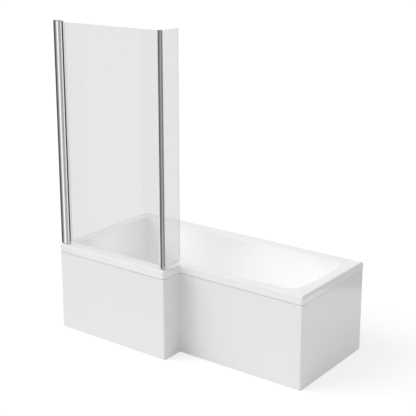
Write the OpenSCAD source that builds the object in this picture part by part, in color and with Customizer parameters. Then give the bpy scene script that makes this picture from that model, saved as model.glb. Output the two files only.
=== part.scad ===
// L-shaped shower bath: a white acrylic bath whose showering end is deeper than its bathing end,
// on adjustable legs behind two white panels, with a hinged glass screen that has a short return.
// The left end and the back stand against walls, and the screen hangs from the left wall.
// Millimetres, +Z up, origin on the floor under the middle of the bath.

/* [Bath] */
// Length along the back wall
bath_len = 1700; // [1600:10:1800]
// Length of the deeper showering end
wide_len = 850; // [800:10:900]
// Depth of the showering end, from the back wall to its front
wide_depth = 850; // [820:5:900]
// Depth of the bathing end, from the back wall to its front
narrow_depth = 700; // [680:5:720]
// Height of the rim above the floor
rim_h = 560; // [540:5:600]
// Thickness of the acrylic shell
shell_t = 5; // [4:0.5:6]

/* [Rim] */
// Height of the downstand round the rim
skirt_h = 50; // [40:1:60]
// Radius of the rim's corners, seen from above
rim_corner_r = 14; // [10:1:18]
// Radius along the rim's outer top edge
rim_edge_r = 9; // [5:1:9]
// Width of the deck at the left wall
deck_left = 92; // [80:1:110]
// Width of the deck along the front of the showering end
deck_front = 76; // [70:1:90]
// Width of the deck on the step's side
deck_step = 55; // [52:1:70]
// Width of the deck along the front of the bathing end, at the step
deck_narrow = 48; // [46:1:60]
// How much wider that deck grows towards the far end
deck_taper = 22; // [0:1:40]
// Width of the deck along the back wall
deck_back = 98; // [80:1:110]
// Width of the deck at the middle of the far end
deck_end = 64; // [55:1:80]

/* [Basin] */
// Depth of the basin, from the rim to its floor
basin_depth = 400; // [380:5:420]
// Radius of the lip where the deck turns down into the basin
lip_r = 9; // [5:1:14]
// How far the plain walls lean in between the lip and the floor
wall_run = 26; // [15:1:40]
// How far the sloping backrest leans in between the lip and the floor
backrest_run = 230; // [180:5:260]
// How far the far end of the opening bows out at its middle
end_bow = 42; // [20:1:60]
// Radius between the plain walls and the floor
floor_r = 70; // [50:1:80]
// Radius between the backrest and the floor
backrest_r = 150; // [110:5:170]
// Corner radius of the opening at the showering end
wide_corner_r = 38; // [30:1:50]
// Radius of the opening round the step
step_corner_r = 42; // [30:1:50]
// Corner radius of the opening at the far end, front
foot_corner_r = 70; // [50:1:80]
// Corner radius of the opening at the far end, back
head_corner_r = 48; // [40:1:70]

/* [Waste] */
// Radius of the hole through the basin floor
waste_hole_r = 26; // [25.5:0.5:28]
// Distance from the flat floor's left edge to the waste
waste_in = 50; // [45:1:80]
// Radius of the waste's flange
flange_r = 35; // [33:0.5:38]
// Outer radius of the threaded tail
tail_r = 23.9; // [22:0.1:24.5]
// Bore of the tail
tail_bore_r = 20; // [18:0.5:20.5]
// Length of the tail below the flange
tail_len = 70; // [60:1:80]
// Travel of the push plug
plug_travel = 8; // [5:0.5:10]

/* [Legs] */
// Thickness of the board under the basin floor
board_t = 15; // [12:1:18]
// Distance of the left rail from the left end
rail_left_at = 370; // [350:10:420]
// Distance of the middle rail from the left end
rail_middle_at = 740; // [700:10:770]
// Distance of the right rail from the left end
rail_right_at = 1170; // [1100:10:1200]
// Width of a rail
rail_w = 40; // [34:1:50]
// Height of a rail
rail_deep = 25; // [20:1:30]
// Thickness of the rail's steel
rail_t = 2; // [1.5:0.25:3]
// Distance from the rim's edge to a rail's end
rail_in = 48; // [44:1:60]
// Distance from a rail's end to its foot
foot_in = 26; // [20:1:40]
// Radius of a foot's threaded stud
stud_r = 5; // [4:0.5:6]
// Radius of a foot's pad
pad_r = 23; // [18:1:30]
// Height of a foot's pad
pad_h = 16; // [12:1:24]

/* [Panels and battens] */
// How far the panels stand back under the rim
panel_set = 9; // [7:0.5:11]
// Thickness of a panel
panel_t = 3; // [2:0.5:4]
// Depth of a panel's turned edge
panel_edge = 20; // [16:1:24]
// Width of the battens under the rim
batten_w = 24; // [20:1:26]
// Thickness of the battens under the rim
batten_t = 18; // [12:1:20]
// How far the battens under the rim stand in from its edge
batten_set = 14; // [13:0.5:16]
// Width of the battens on the floor
plinth_w = 25; // [18:1:28]
// Height of the battens on the floor
plinth_h = 38; // [30:1:50]

/* [Screen] */
// Height of the screen above the rim
screen_h = 1400; // [1300:10:1500]
// Thickness of the glass
glass_t = 6; // [5:0.5:8]
// Distance from the rim's edge to the middle of the glass
glass_set = 34; // [30:1:38]
// How far the return glass passes the front of the bathing end
return_past = 42; // [10:1:45]
// Gap between the rim and the glass
glass_lift = 10; // [8:0.5:14]
// How much lower the glass ends than the wall profile
glass_drop = 8; // [7:0.5:12]
// Side of the corner post
post_w = 20; // [18:0.5:24]

/* [Hinge] */
// Distance from the wall to the hinge axis
hinge_out = 53; // [53:0.5:58]
// Length of the wall profile, away from the wall
profile_len = 44; // [40:0.5:44.5]
// Width of the wall profile across the glass
profile_w = 28; // [28:0.5:32]
// Thickness of the wall profile
profile_t = 2; // [1.5:0.25:2.5]
// Rise of the two flats of its bowed sides, before their ridge is rounded
profile_rise = 4; // [3:0.25:4.5]
// Outer radius of the hinge barrel
barrel_r = 8; // [7:0.25:8]
// Radius of the pivot pins
pin_r = 4; // [3:0.25:4.5]
// Length of the glass clamp, from the hinge axis
clamp_len = 16; // [15:0.5:22]
// Thickness of the end caps of the wall profile
cap_t = 4; // [3:0.5:6]

/* [Hidden] */
left = -bath_len / 2;
right = bath_len / 2;
front = -wide_depth / 2;
back = wide_depth / 2;
step_x = left + wide_len;
step_y = back - narrow_depth;
floor_z = rim_h - basin_depth;
skirt_z = rim_h - skirt_h;

// Clearances: a push fit, a running fit, a seat and a free gap
push = 0.05;
running = 0.05;
seat = 0.3;
eps = 1;

// Steps on the rounded corners, seen from above
corner_steps = 6;
rim_steps = 4;

// The flat part of the basin floor
floor_left = left + deck_left + wall_run + floor_r;
floor_right = right - deck_end - end_bow - backrest_run - backrest_r;
floor_front = front + deck_front + wall_run + floor_r;
floor_step_x = step_x - deck_step - wall_run - floor_r;
floor_step_y = step_y + deck_narrow + deck_taper + wall_run + floor_r;
floor_back = back - deck_back - wall_run - floor_r;

// A point that sees every side of the L at all heights
hub_in = 100;
l_hub = [floor_step_x - hub_in, floor_step_y + hub_in];

// The waste, on the long axis of the bathing end
waste_x = floor_left + waste_in;
waste_y = back - narrow_depth / 2;
washer_t = 1.5;
flange_t = 3;
flange_z = floor_z + washer_t;
flange_top = flange_z + flange_t;
tail_z = flange_z - tail_len;
lower_washer_t = 3;
nut_h = 12;
nut_r = 33;
nut_z = floor_z - shell_t - lower_washer_t - nut_h;
relief_h = 3;
relief = 1;
cage_r = 8;
cage_t = 2;
cage_top = floor_z;
cage_len = 32;
cage_z = cage_top - cage_len;
guide_t = 3;
boss_h = 8;
boss_t = 3;
spider_ring_t = 1.5;
stem_r = 4;
collar_r = 5.6;
collar_t = 3;
collar_top = cage_top - guide_t - seat;
spring_r = 4.9;
spring_wire_r = 0.6;
spring_turns = 6;
spring_z = cage_z + cage_t;
spring_len = collar_top - collar_t - spring_z;
plug_r = 30;
plug_t = 4;
seal_t = 2;
seal_z = flange_top + plug_travel + 0.1;
plug_z = seal_z + seal_t;

// The board, rails and feet
board_z = floor_z - shell_t - board_t;
board_gap = 35;
board_left = waste_x + flange_r + board_gap;
board_corner_r = 15;
rail_at = [rail_left_at, rail_middle_at, rail_right_at];
rail_z = board_z - rail_deep;
stud_z = 6;
stud_top = board_z + 11;
lock_nut_h = 8;
lock_nut_r = 9.8;
wood_screw_r = 2.2;
wood_screw_in = 11;
wood_screw_head_r = 4.2;
wood_screw_head_h = 3;
wood_screw_row = 40;
screw_y = [floor_step_y + wood_screw_row, floor_back - wood_screw_row];

// The panels reach up behind the rim's downstand to the battens
panel_top = rim_h - shell_t - batten_t;
panel_in = panel_set + panel_t;
panel_corner_r = 6;
panel_back = rim_corner_r;

// The brackets that hook the rim to the walls
bracket_w = 40;
bracket_t = 2;
bracket_leaf = 60;
bracket_hook = 18;
bracket_hole_r = 2.75;
bracket_in = 400;
bracket_drop = 36;
bracket_x = [left + bracket_in, right - bracket_in];
bracket_hole_z = skirt_z - bracket_drop;

// The screen
screen_top = rim_h + screen_h;
hinge_x = left + hinge_out;
glass_y = front + glass_set;
post_x = step_x - glass_set;
glass_z = rim_h + glass_lift;
glass_top = screen_top - glass_drop;
glass_bite = 5.5;
slot_depth = 6;
slot_w = glass_t + 0.4;
return_end = step_y + return_past;
post_cap_t = 2.4;
port_r = 2.2;
seal_out = 1.5;
hinge_seal_w = 12;
post_seal_w = 14;
return_seal_w = 8;
sweep_up = 10;
sweep_base = 3;
sweep_gap = 0.5;
fin_t = 1.3;

// The hinge
bush_flange = 2;
bush_len = 20;
bush_r = pin_r + 2;
profile_z = rim_h + cap_t;
profile_top = screen_top - cap_t;
barrel_z = profile_z + bush_flange;
barrel_top = profile_top - bush_flange;
profile_web = 2.5;
profile_r = 6;
ridge_r = 0.7 * pow(profile_len / 2, 2) / profile_rise;
ridge_cut = ridge_r * (sqrt(1 + pow(2 * profile_rise / profile_len, 2)) - 1);
flank = profile_w / 2 - profile_rise + ridge_cut;
slide_w = 2 * (flank - profile_t + seat);
mouth_w = 2 * barrel_r;
cradle_r = barrel_r + 0.6;
stop_w = cradle_r + 0.2;
stop_reach = 6;
tongue_r = barrel_r + 1;
wall_hole_r = 2.5;
wall_hole_in = 120;
side_screw_r = 1.6;
side_screw_head_r = 3.2;
side_screw_head_h = 1.8;
side_screw_u = profile_len / 2;
hole_z = [profile_z + wall_hole_in, (profile_z + profile_top) / 2, profile_top - wall_hole_in];

// Shared shapes

// Unit vector along v
function unit(v) = v / norm(v);

// Points of the arc that rounds corner q, which lies between p and s
function corner_arc(p, q, s, r, n) = let (
    a = unit(p - q),
    b = unit(s - q),
    half = acos(a * b) / 2,
    c = q + unit(a + b) * r / sin(half),
    first = q + a * r / tan(half) - c,
    last = q + b * r / tan(half) - c,
    a0 = atan2(first.y, first.x),
    turn = atan2(last.y, last.x) - a0,
    sweep = turn > 180 ? turn - 360 : turn < -180 ? turn + 360 : turn)
    [for (i = [0:n]) c + r * [cos(a0 + sweep * i / n), sin(a0 + sweep * i / n)]];

// Outline through corners [x, y, radius], each one rounded
function rounded(corners, n) = let (k = len(corners))
    [for (i = [0:k - 1]) let (p = corners[(i + k - 1) % k], q = corners[i], s = corners[(i + 1) % k])
        each corner_arc([p.x, p.y], [q.x, q.y], [s.x, s.y], q[2], n)];

// Outline at height z
function at_height(outline, z) = [for (p = outline) [p.x, p.y, z]];

// Middle of a ring of points
function middle(ring) = [for (p = ring) 1] * ring / len(ring);

// Closed skin over rings of points that run anticlockwise, from the lowest ring up. Each end is
// closed by a fan about a hub: a point that sees the whole ring, which is its middle unless given.
module loft(rings, hub = undef) {
    m = len(rings[0]);
    k = len(rings);
    ends = [for (ring = [rings[0], rings[k - 1]]) is_undef(hub) ? middle(ring) : [hub.x, hub.y, ring[0].z]];
    polyhedron(
        points = concat([for (ring = rings) each ring], ends),
        faces = [
            for (i = [0:m - 1]) let (next = (i + 1) % m, top = (k - 1) * m)
                each [[k * m, i, next], [k * m + 1, top + next, top + i]],
            for (j = [0:k - 2], i = [0:m - 1]) let (a = j * m + i, b = j * m + (i + 1) % m)
                each [[a, a + m, b + m], [a, b + m, b]]]);
}

// Box between two corners
module block(low, high) {
    translate(low) cube(high - low);
}

// The rim's outline, moved in by a distance
function rim_outline(in) = let (r = max(rim_corner_r - in, 2)) rounded([
    [left + in, front + in, r],
    [step_x - in, front + in, r],
    [step_x - in, step_y + in, rim_corner_r + in],
    [right - in, step_y + in, r],
    [right - in, back - in, r],
    [left + in, back - in, r]], rim_steps);

// How far a wall has leaned in at height h above the floor, with its foot rounded
function lean(h, depth, run, foot_r) = run * (1 - h / depth)
    + (h < foot_r ? foot_r - sqrt(max(foot_r * foot_r - pow(foot_r - h, 2), 0)) : 0);

// How far the lip has turned out at height h above the floor
function lip_out(h) = let (up = h - basin_depth + lip_r)
    up > 0 ? lip_r - sqrt(max(lip_r * lip_r - up * up, 0)) : 0;

// The basin's outline at height h above its floor, on a skin grown outwards.
// The L has one inner corner, at the step, and its far end is bowed.
function basin_outline(h, grow) = let (
    depth = basin_depth + grow,
    flare = grow > 0 ? grow : lip_out(h),
    side = lean(h, depth, wall_run, floor_r + grow) - flare,
    rest = lean(h, depth, backrest_run, backrest_r + grow) - flare,
    x_left = left + deck_left + side,
    x_step = step_x - deck_step - side,
    x_bow = right - deck_end - rest,
    x_end = x_bow - end_bow,
    y_front = front + deck_front + side,
    y_step = step_y + deck_narrow + side,
    y_end = y_step + deck_taper,
    y_back = back - deck_back - side,
    half_end = (y_back - y_end) / 2,
    bow_r = 0.45 * half_end * half_end / end_bow)
    rounded([
        [x_left, y_front, wide_corner_r + grow],
        [x_step, y_front, wide_corner_r + grow],
        [x_step, y_step, step_corner_r - grow],
        [x_end, y_end, foot_corner_r + grow],
        [x_bow, y_end + half_end, bow_r],
        [x_end, y_back, head_corner_r + grow],
        [x_left, y_back, wide_corner_r + grow]], corner_steps);

// Heights above the floor where the basin's rings lie
foot_heights = [for (a = [0:15:90]) floor_r * (1 - cos(a))];
rest_heights = [(floor_r + backrest_r) / 2, backrest_r, (backrest_r + basin_depth) / 2];
lip_heights = [for (a = [0:30:90]) basin_depth - lip_r * (1 - sin(a))];

// The bath

module basin_inside() {
    rings = [for (h = concat(foot_heights, rest_heights, lip_heights))
        at_height(basin_outline(h, 0), floor_z + h)];
    loft(concat(rings, [at_height(basin_outline(basin_depth, 0), rim_h + eps)]), l_hub);
}

module basin_outside() {
    top = basin_depth + shell_t / 2;
    loft([for (h = concat(foot_heights, rest_heights, [top]))
        at_height(basin_outline(h, shell_t), floor_z - shell_t + h)], l_hub);
}

module rim() {
    edge = [for (a = [0:30:90]) rim_edge_r * [1 - cos(a), sin(a) - 1]];
    difference() {
        union() {
            translate([0, 0, skirt_z]) linear_extrude(skirt_h - rim_edge_r) polygon(rim_outline(0));
            loft([for (e = edge) at_height(rim_outline(e.x), rim_h + e.y)], l_hub);
        }
        translate([0, 0, skirt_z - eps])
            linear_extrude(skirt_h - shell_t + eps) polygon(rim_outline(shell_t));
    }
}

module bath_shell() {
    color("white")
    difference() {
        union() {
            rim();
            basin_outside();
        }
        basin_inside();
        translate([waste_x, waste_y, floor_z - 2 * shell_t])
            cylinder(h = 3 * shell_t, r = waste_hole_r, $fn = 64);
    }
}

// The board that stiffens the floor, short of the waste
module base_board() {
    outline = rounded([for (p = [
        [board_left, floor_front],
        [floor_step_x, floor_front],
        [floor_step_x, floor_step_y],
        [floor_right, floor_step_y],
        [floor_right, floor_back],
        [board_left, floor_back]]) [p.x, p.y, board_corner_r]], rim_steps);
    color("burlywood")
    difference() {
        translate([0, 0, board_z]) linear_extrude(board_t) polygon(outline);
        for (at = rail_at, y = screw_y)
            translate([left + at, y, board_z - eps])
                cylinder(h = wood_screw_in + eps, r = wood_screw_r + push, $fn = 24);
    }
}

// Battens under the deck, one along each side of the L
module rim_battens() {
    a = batten_set;
    b = batten_set + batten_w;
    c = b + seat;
    low = panel_top;
    high = rim_h - shell_t;
    color("tan") {
        block([left + a, back - b, low], [right - a, back - a, high]);
        block([left + a, front + c, low], [left + b, back - c, high]);
        block([left + a, front + a, low], [step_x - a, front + b, high]);
        block([step_x - b, front + c, low], [step_x - a, step_y + a - seat, high]);
        block([step_x - a, step_y + a, low], [right - c, step_y + b, high]);
        block([right - b, step_y + a, low], [right - a, back - c, high]);
    }
}

// Legs

// Front of the bath at a rail
function front_at(at) = at < wide_len ? front : step_y;

// The two feet of a rail
function feet(at) = [[left + at, front_at(at) + rail_in + foot_in], [left + at, back - rail_in - foot_in]];

all_feet = [for (at = rail_at) each feet(at)];

module leg_rail(at) {
    low = front_at(at) + rail_in;
    high = back - rail_in;
    color("silver")
    difference() {
        block([left + at - rail_w / 2, low, rail_z], [left + at + rail_w / 2, high, board_z]);
        block([left + at - rail_w / 2 + rail_t, low - eps, rail_z - eps],
            [left + at + rail_w / 2 - rail_t, high + eps, board_z - rail_t]);
        for (p = feet(at))
            translate([p.x, p.y, rail_z]) cylinder(h = rail_deep + eps, r = stud_r + push, $fn = 32);
        for (y = screw_y)
            translate([left + at, y, rail_z])
                cylinder(h = rail_deep + eps, r = wood_screw_r + push, $fn = 24);
    }
}

module leg_rail_left() {
    leg_rail(rail_at[0]);
}

module leg_rail_middle() {
    leg_rail(rail_at[1]);
}

module leg_rail_right() {
    leg_rail(rail_at[2]);
}

module rail_screws() {
    head_z = board_z - rail_t - wood_screw_head_h;
    color("gainsboro")
    for (at = rail_at, y = screw_y)
        translate([left + at, y, head_z]) {
            cylinder(h = wood_screw_head_h, r = wood_screw_head_r, $fn = 24);
            cylinder(h = wood_screw_head_h + rail_t + wood_screw_in, r = wood_screw_r, $fn = 24);
        }
}

module foot_studs() {
    color("gainsboro")
    for (p = all_feet)
        translate([p.x, p.y, stud_z]) cylinder(h = stud_top - stud_z, r = stud_r, $fn = 32);
}

// Nuts above and below each rail's web, and one on each pad
module lock_nuts() {
    color("silver")
    for (p = all_feet, z = [pad_h, board_z - rail_t - lock_nut_h, board_z])
        translate([p.x, p.y, z])
            difference() {
                cylinder(h = lock_nut_h, r = lock_nut_r, $fn = 6);
                translate([0, 0, -eps]) cylinder(h = lock_nut_h + 2 * eps, r = stud_r + push, $fn = 32);
            }
}

module foot_pads() {
    neck_r = stud_r + 5;
    brim_h = pad_h / 3;
    color("dimgray")
    for (p = all_feet)
        translate([p.x, p.y, 0])
            rotate_extrude($fn = 48)
                polygon([[0, 0], [pad_r, 0], [pad_r, brim_h], [neck_r, pad_h], [stud_r + push, pad_h],
                    [stud_r + push, stud_z], [0, stud_z]]);
}

// Brackets

// One bracket in the plane of a wall: it lies on the wall at 0, then steps in and hooks up
// behind the rim's downstand
module wall_bracket() {
    step = shell_t + seat;
    z0 = skirt_z - bracket_leaf - seat;
    z1 = skirt_z - seat;
    difference() {
        rotate([90, 0, 90])
            linear_extrude(bracket_w, center = true)
                polygon([[0, z0], [0, z1], [-step, z1], [-step, z1 + bracket_hook],
                    [-step - bracket_t, z1 + bracket_hook], [-step - bracket_t, z1 - bracket_t],
                    [-bracket_t, z1 - bracket_t], [-bracket_t, z0]]);
        translate([0, eps, bracket_hole_z])
            rotate([90, 0, 0]) cylinder(h = bracket_t + 2 * eps, r = bracket_hole_r, $fn = 32);
    }
}

module wall_brackets() {
    color("silver") {
        for (x = bracket_x)
            translate([x, back, 0]) wall_bracket();
        translate([left, 0, 0]) rotate(90) wall_bracket();
    }
}

// Panels

// The front panel's line at a distance from the rim's edge, from the left wall to x at the far end
function front_line(d, r_out, r_in, end) = concat(
    [[left + panel_set, front + d]],
    corner_arc([left, front + d], [step_x - d, front + d], [step_x - d, step_y + d], r_out, rim_steps),
    corner_arc([step_x - d, front + d], [step_x - d, step_y + d], [right, step_y + d], r_in, rim_steps),
    [[end, step_y + d]]);

function reversed(list) = [for (i = [len(list) - 1:-1:0]) list[i]];

// The strip between the panel's face and a line farther in
function front_strip(d, end) = let (more = d - panel_set) concat(
    front_line(panel_set, panel_corner_r, panel_corner_r, end),
    reversed(front_line(d, max(panel_corner_r - more, 1), panel_corner_r + more, end)));

// One sheet that follows the L, with its top and its left end turned in
module front_panel() {
    face_y = front + panel_set;
    color("white") {
        linear_extrude(panel_top) polygon(front_strip(panel_in, right - panel_set));
        translate([0, 0, panel_top - panel_t])
            linear_extrude(panel_t)
                polygon(front_strip(panel_set + panel_edge, right - panel_set - panel_edge - seat));
        block([left + panel_set, face_y, 0], [left + panel_in, face_y + panel_edge, panel_top]);
    }
}

// A flat sheet with its top and both ends turned in, behind the front panel's edge
module end_panel() {
    face_x = right - panel_set;
    low_y = step_y + panel_in;
    high_y = back - panel_back;
    color("whitesmoke")
    difference() {
        block([face_x - panel_edge, low_y, 0], [face_x, high_y, panel_top]);
        block([face_x - panel_edge - eps, low_y + panel_t, -eps],
            [face_x - panel_t, high_y - panel_t, panel_top - panel_t]);
    }
}

// Battens on the floor that the panels' feet stand against
module floor_battens() {
    a = panel_in;
    b = panel_in + plinth_w;
    color("tan") {
        block([left + a, front + a, 0], [step_x - a - panel_corner_r, front + b, plinth_h]);
        block([step_x - b, front + b + seat, 0], [step_x - a, step_y + b, plinth_h]);
        block([step_x - a + seat, step_y + a, 0], [right - b - seat, step_y + b, plinth_h]);
        block([right - b, step_y + a + panel_t, 0], [right - a, back - panel_back - panel_t, plinth_h]);
    }
}

// Waste and push plug

module at_waste() {
    translate([waste_x, waste_y, 0]) children();
}

// Flanged body whose threaded tail has a relief between the nut's length and the trap's
module waste_body() {
    bevel = 2;
    neck_r = tail_r - relief;
    color("silver")
    at_waste()
        rotate_extrude($fn = 72)
            polygon([[tail_bore_r, tail_z], [tail_r, tail_z], [tail_r, nut_z - relief_h],
                [neck_r, nut_z - relief_h], [neck_r, nut_z], [tail_r, nut_z],
                [tail_r, flange_z], [flange_r, flange_z], [flange_r, flange_top - bevel],
                [flange_r - bevel, flange_top], [tail_bore_r + flange_t, flange_top],
                [tail_bore_r, flange_z]]);
}

// Ring pushed into the tail, with three arms and a hub that carry the plug's sleeve
module waste_spider() {
    arm_w = 5;
    ring_r = tail_bore_r - push;
    hub_r = cage_r + push + boss_t;
    color("silver")
    at_waste()
        difference() {
            union() {
                washer(cage_z, boss_h, ring_r - spider_ring_t, ring_r);
                for (a = [90:120:330])
                    rotate(a)
                        block([0, -arm_w / 2, cage_z],
                            [ring_r - spider_ring_t / 2, arm_w / 2, cage_z + boss_h]);
                translate([0, 0, cage_z]) cylinder(h = boss_h, r = hub_r, $fn = 48);
            }
            translate([0, 0, cage_z - eps])
                cylinder(h = boss_h + 2 * eps, r = cage_r + push, $fn = 48);
        }
}

module washer(z, h, r_in, r_out) {
    translate([0, 0, z])
        difference() {
            cylinder(h = h, r = r_out, $fn = 64);
            translate([0, 0, -eps]) cylinder(h = h + 2 * eps, r = r_in, $fn = 64);
        }
}

module waste_washers() {
    color("dimgray")
    at_waste() {
        washer(floor_z, washer_t, tail_r + seat, flange_r - 3);
        washer(floor_z - shell_t - lower_washer_t, lower_washer_t, tail_r + seat, flange_r - 2);
    }
}

module waste_nut() {
    color("gray")
    at_waste()
        translate([0, 0, nut_z])
            difference() {
                cylinder(h = nut_h, r = nut_r, $fn = 6);
                translate([0, 0, -eps]) cylinder(h = nut_h + 2 * eps, r = tail_r + push, $fn = 64);
            }
}

// The brass sleeve that guides the plug's stem and holds its spring
module plug_cage() {
    bore_r = cage_r - cage_t;
    color("goldenrod")
    at_waste()
        rotate_extrude($fn = 48)
            polygon([[0, cage_z], [cage_r, cage_z], [cage_r, cage_top], [stem_r + running, cage_top],
                [stem_r + running, cage_top - guide_t], [bore_r, cage_top - guide_t],
                [bore_r, cage_z + cage_t], [0, cage_z + cage_t]]);
}

// A helix of round wire between the sleeve's floor and the stem's collar
module plug_spring() {
    sides = 6;
    steps = spring_turns * 12;
    rise = (spring_len - 2 * spring_wire_r) / steps;
    rings = [for (i = [0:steps]) let (a = 360 * spring_turns * i / steps)
        [for (j = [0:sides - 1]) let (
            b = 360 * j / sides,
            out = spring_r + spring_wire_r * cos(b))
            [out * cos(a), out * sin(a), spring_z + spring_wire_r + rise * i + spring_wire_r * sin(b)]]];
    color("gray")
    at_waste() loft([for (ring = rings) reversed(ring)]);
}

// The chrome cap with its stem and the collar that stops it under the guide
module plug_cap() {
    pilot_r = 3.4;
    pilot_z = spring_z + plug_travel + 3;
    crown = 2;
    bevel = 2;
    color("silver")
    at_waste()
        rotate_extrude($fn = 72)
            polygon([[0, pilot_z], [pilot_r, pilot_z], [pilot_r, collar_top - collar_t],
                [collar_r, collar_top - collar_t], [collar_r, collar_top], [stem_r, collar_top],
                [stem_r, plug_z], [plug_r, plug_z], [plug_r, plug_z + plug_t - bevel],
                [plug_r - bevel, plug_z + plug_t], [plug_r / 2, plug_z + plug_t + crown * 0.7],
                [0, plug_z + plug_t + crown]]);
}

module plug_seal() {
    color("dimgray")
    at_waste() washer(seal_z, seal_t, tail_bore_r + 4, plug_r - 2);
}

// Hinge and wall profile

// A section drawn out from the wall, on the line of the glass, and drawn up between two heights
module up_from_wall(low, high) {
    translate([left, glass_y, low]) linear_extrude(high - low) children();
}

module rect(x0, y0, x1, y1) {
    translate([x0, y0]) square([x1 - x0, y1 - y0]);
}

// The channel's outline, moved in by a distance: each side is two flats with a rounded ridge
module channel_outline(in, start) {
    side = flank - in;
    ridge = side + profile_rise;
    end = profile_len - in;
    mid = profile_len / 2;
    polygon(rounded([[start, -side, 0.5], [mid, -ridge, ridge_r - in], [end, -side, profile_r - in],
        [end, side, profile_r - in], [mid, ridge, ridge_r - in], [start, side, 0.5]], corner_steps));
}

// A bowed channel whose mouth is drawn in, screwed to the wall through its web
module wall_profile() {
    inner = profile_w / 2 - profile_t;
    color("silver")
    difference() {
        up_from_wall(profile_z, profile_top)
            difference() {
                channel_outline(0, 0);
                channel_outline(profile_t, profile_web);
                rect(profile_len / 2, -mouth_w / 2 - seat, profile_len + eps, mouth_w / 2 + seat);
            }
        for (z = hole_z) {
            translate([left - eps, glass_y, z])
                rotate([0, 90, 0]) cylinder(h = profile_web + 2 * eps, r = wall_hole_r, $fn = 32);
            translate([left + side_screw_u, glass_y + inner - eps, z])
                rotate([-90, 0, 0]) cylinder(h = profile_t + 2 * eps, r = side_screw_r + push, $fn = 24);
        }
    }
}

// The tube that slides in the channel to take up the wall, cradles the barrel and
// carries the lip that the glass closes against
module adjuster_profile() {
    inner = slide_w / 2;
    neck = mouth_w / 2;
    wall = profile_t;
    body_u0 = 10;
    body_u1 = profile_len - profile_r;
    nose_u = hinge_out - barrel_r;
    lip_u = profile_len + seat;
    color("silver")
    difference() {
        up_from_wall(profile_z, profile_top)
            difference() {
                union() {
                    rect(body_u0, -inner, body_u1, inner);
                    rect(body_u1 - eps, -neck, nose_u, neck);
                    rect(lip_u, cradle_r / 2, nose_u + wall, stop_w + wall);
                    rect(lip_u, stop_w, hinge_out + stop_reach, stop_w + wall);
                }
                rect(body_u0 + wall, -inner + wall, body_u1 - wall, inner - wall);
                translate([hinge_out, 0]) circle(r = cradle_r, $fn = 64);
            }
        for (z = hole_z)
            translate([left + side_screw_u, glass_y + inner - wall - eps, z])
                rotate([-90, 0, 0]) cylinder(h = wall + 2 * eps, r = side_screw_r + push, $fn = 24);
    }
}

// Screws through the channel's inner side into the adjuster
module adjuster_screws() {
    reach = (profile_w - slide_w) / 2 + profile_t;
    color("gainsboro")
    for (z = hole_z)
        translate([left + side_screw_u, glass_y + profile_w / 2, z])
            rotate([-90, 0, 0]) {
                cylinder(h = side_screw_head_h, r = side_screw_head_r, $fn = 24);
                translate([0, 0, -reach]) cylinder(h = reach + side_screw_head_h, r = side_screw_r, $fn = 24);
            }
}

// End cap over the channel and the barrel, bored for a pivot pin
module profile_cap(z) {
    up_from_wall(z, z + cap_t)
        difference() {
            union() {
                channel_outline(0, 0);
                rect(profile_len - eps, -tongue_r, hinge_out, tongue_r);
                translate([hinge_out, 0]) circle(r = tongue_r, $fn = 64);
            }
            translate([hinge_out, 0]) circle(r = pin_r + push, $fn = 48);
        }
}

module profile_top_cap() {
    color("silver") profile_cap(profile_top);
}

module profile_bottom_cap() {
    color("silver") profile_cap(rim_h);
}

module on_hinge(z) {
    translate([hinge_x, glass_y, z]) children();
}

module pivot_pins() {
    pin_len = cap_t + bush_flange + bush_len - 1;
    color("gray") {
        on_hinge(rim_h) cylinder(h = pin_len, r = pin_r, $fn = 48);
        on_hinge(screen_top - pin_len) cylinder(h = pin_len, r = pin_r, $fn = 48);
    }
}

// Flanged nylon bush, flange at the low end
module pivot_bush() {
    difference() {
        union() {
            cylinder(h = bush_flange, r = barrel_r - 0.4, $fn = 48);
            cylinder(h = bush_flange + bush_len, r = bush_r, $fn = 48);
        }
        translate([0, 0, -eps])
            cylinder(h = bush_flange + bush_len + 2 * eps, r = pin_r + running, $fn = 48);
    }
}

module pivot_bushes() {
    color("ivory") {
        on_hinge(profile_z) pivot_bush();
        on_hinge(profile_top) mirror([0, 0, 1]) pivot_bush();
    }
}

// The barrel that turns on the pins, with the clamp for the glass
module pivot_profile() {
    clamp_w = 2 * barrel_r - 2;
    slot_u = barrel_r + 1;
    color("silver")
    translate([hinge_x, glass_y, barrel_z])
        linear_extrude(barrel_top - barrel_z)
            difference() {
                union() {
                    circle(r = barrel_r, $fn = 64);
                    rect(0, -clamp_w / 2, clamp_len, clamp_w / 2);
                }
                circle(r = bush_r + push, $fn = 48);
                rect(slot_u, -slot_w / 2, clamp_len + eps, slot_w / 2);
            }
}

// Glass

module pane(low, high) {
    color("lightcyan") block(low, high);
}

module front_glass() {
    pane([hinge_x + barrel_r + 1 + seat, glass_y - glass_t / 2, glass_z],
        [post_x - post_w / 2 + glass_bite, glass_y + glass_t / 2, glass_top]);
}

module return_glass() {
    pane([post_x - glass_t / 2, glass_y + post_w / 2 - glass_bite, glass_z],
        [post_x + glass_t / 2, return_end, glass_top]);
}

// A clear strip on both faces of the glass, along X from a to b on the front glass
module strip_x(a, b) {
    for (side = [-1, 1])
        translate([0, glass_y + side * (glass_t + seal_out) / 2, 0])
            block([a, -seal_out / 2, glass_z + sweep_up + seat], [b, seal_out / 2, glass_top]);
}

module strip_y(a, b) {
    for (side = [-1, 1])
        translate([post_x + side * (glass_t + seal_out) / 2, 0, 0])
            block([-seal_out / 2, a, glass_z + sweep_up + seat], [seal_out / 2, b, glass_top]);
}

module hinge_seal() {
    color("aliceblue") strip_x(hinge_x + clamp_len, hinge_x + clamp_len + hinge_seal_w);
}

module post_seals() {
    color("aliceblue") {
        strip_x(post_x - post_w / 2 - post_seal_w, post_x - post_w / 2);
        strip_y(glass_y + post_w / 2, glass_y + post_w / 2 + return_seal_w);
    }
}

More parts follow.
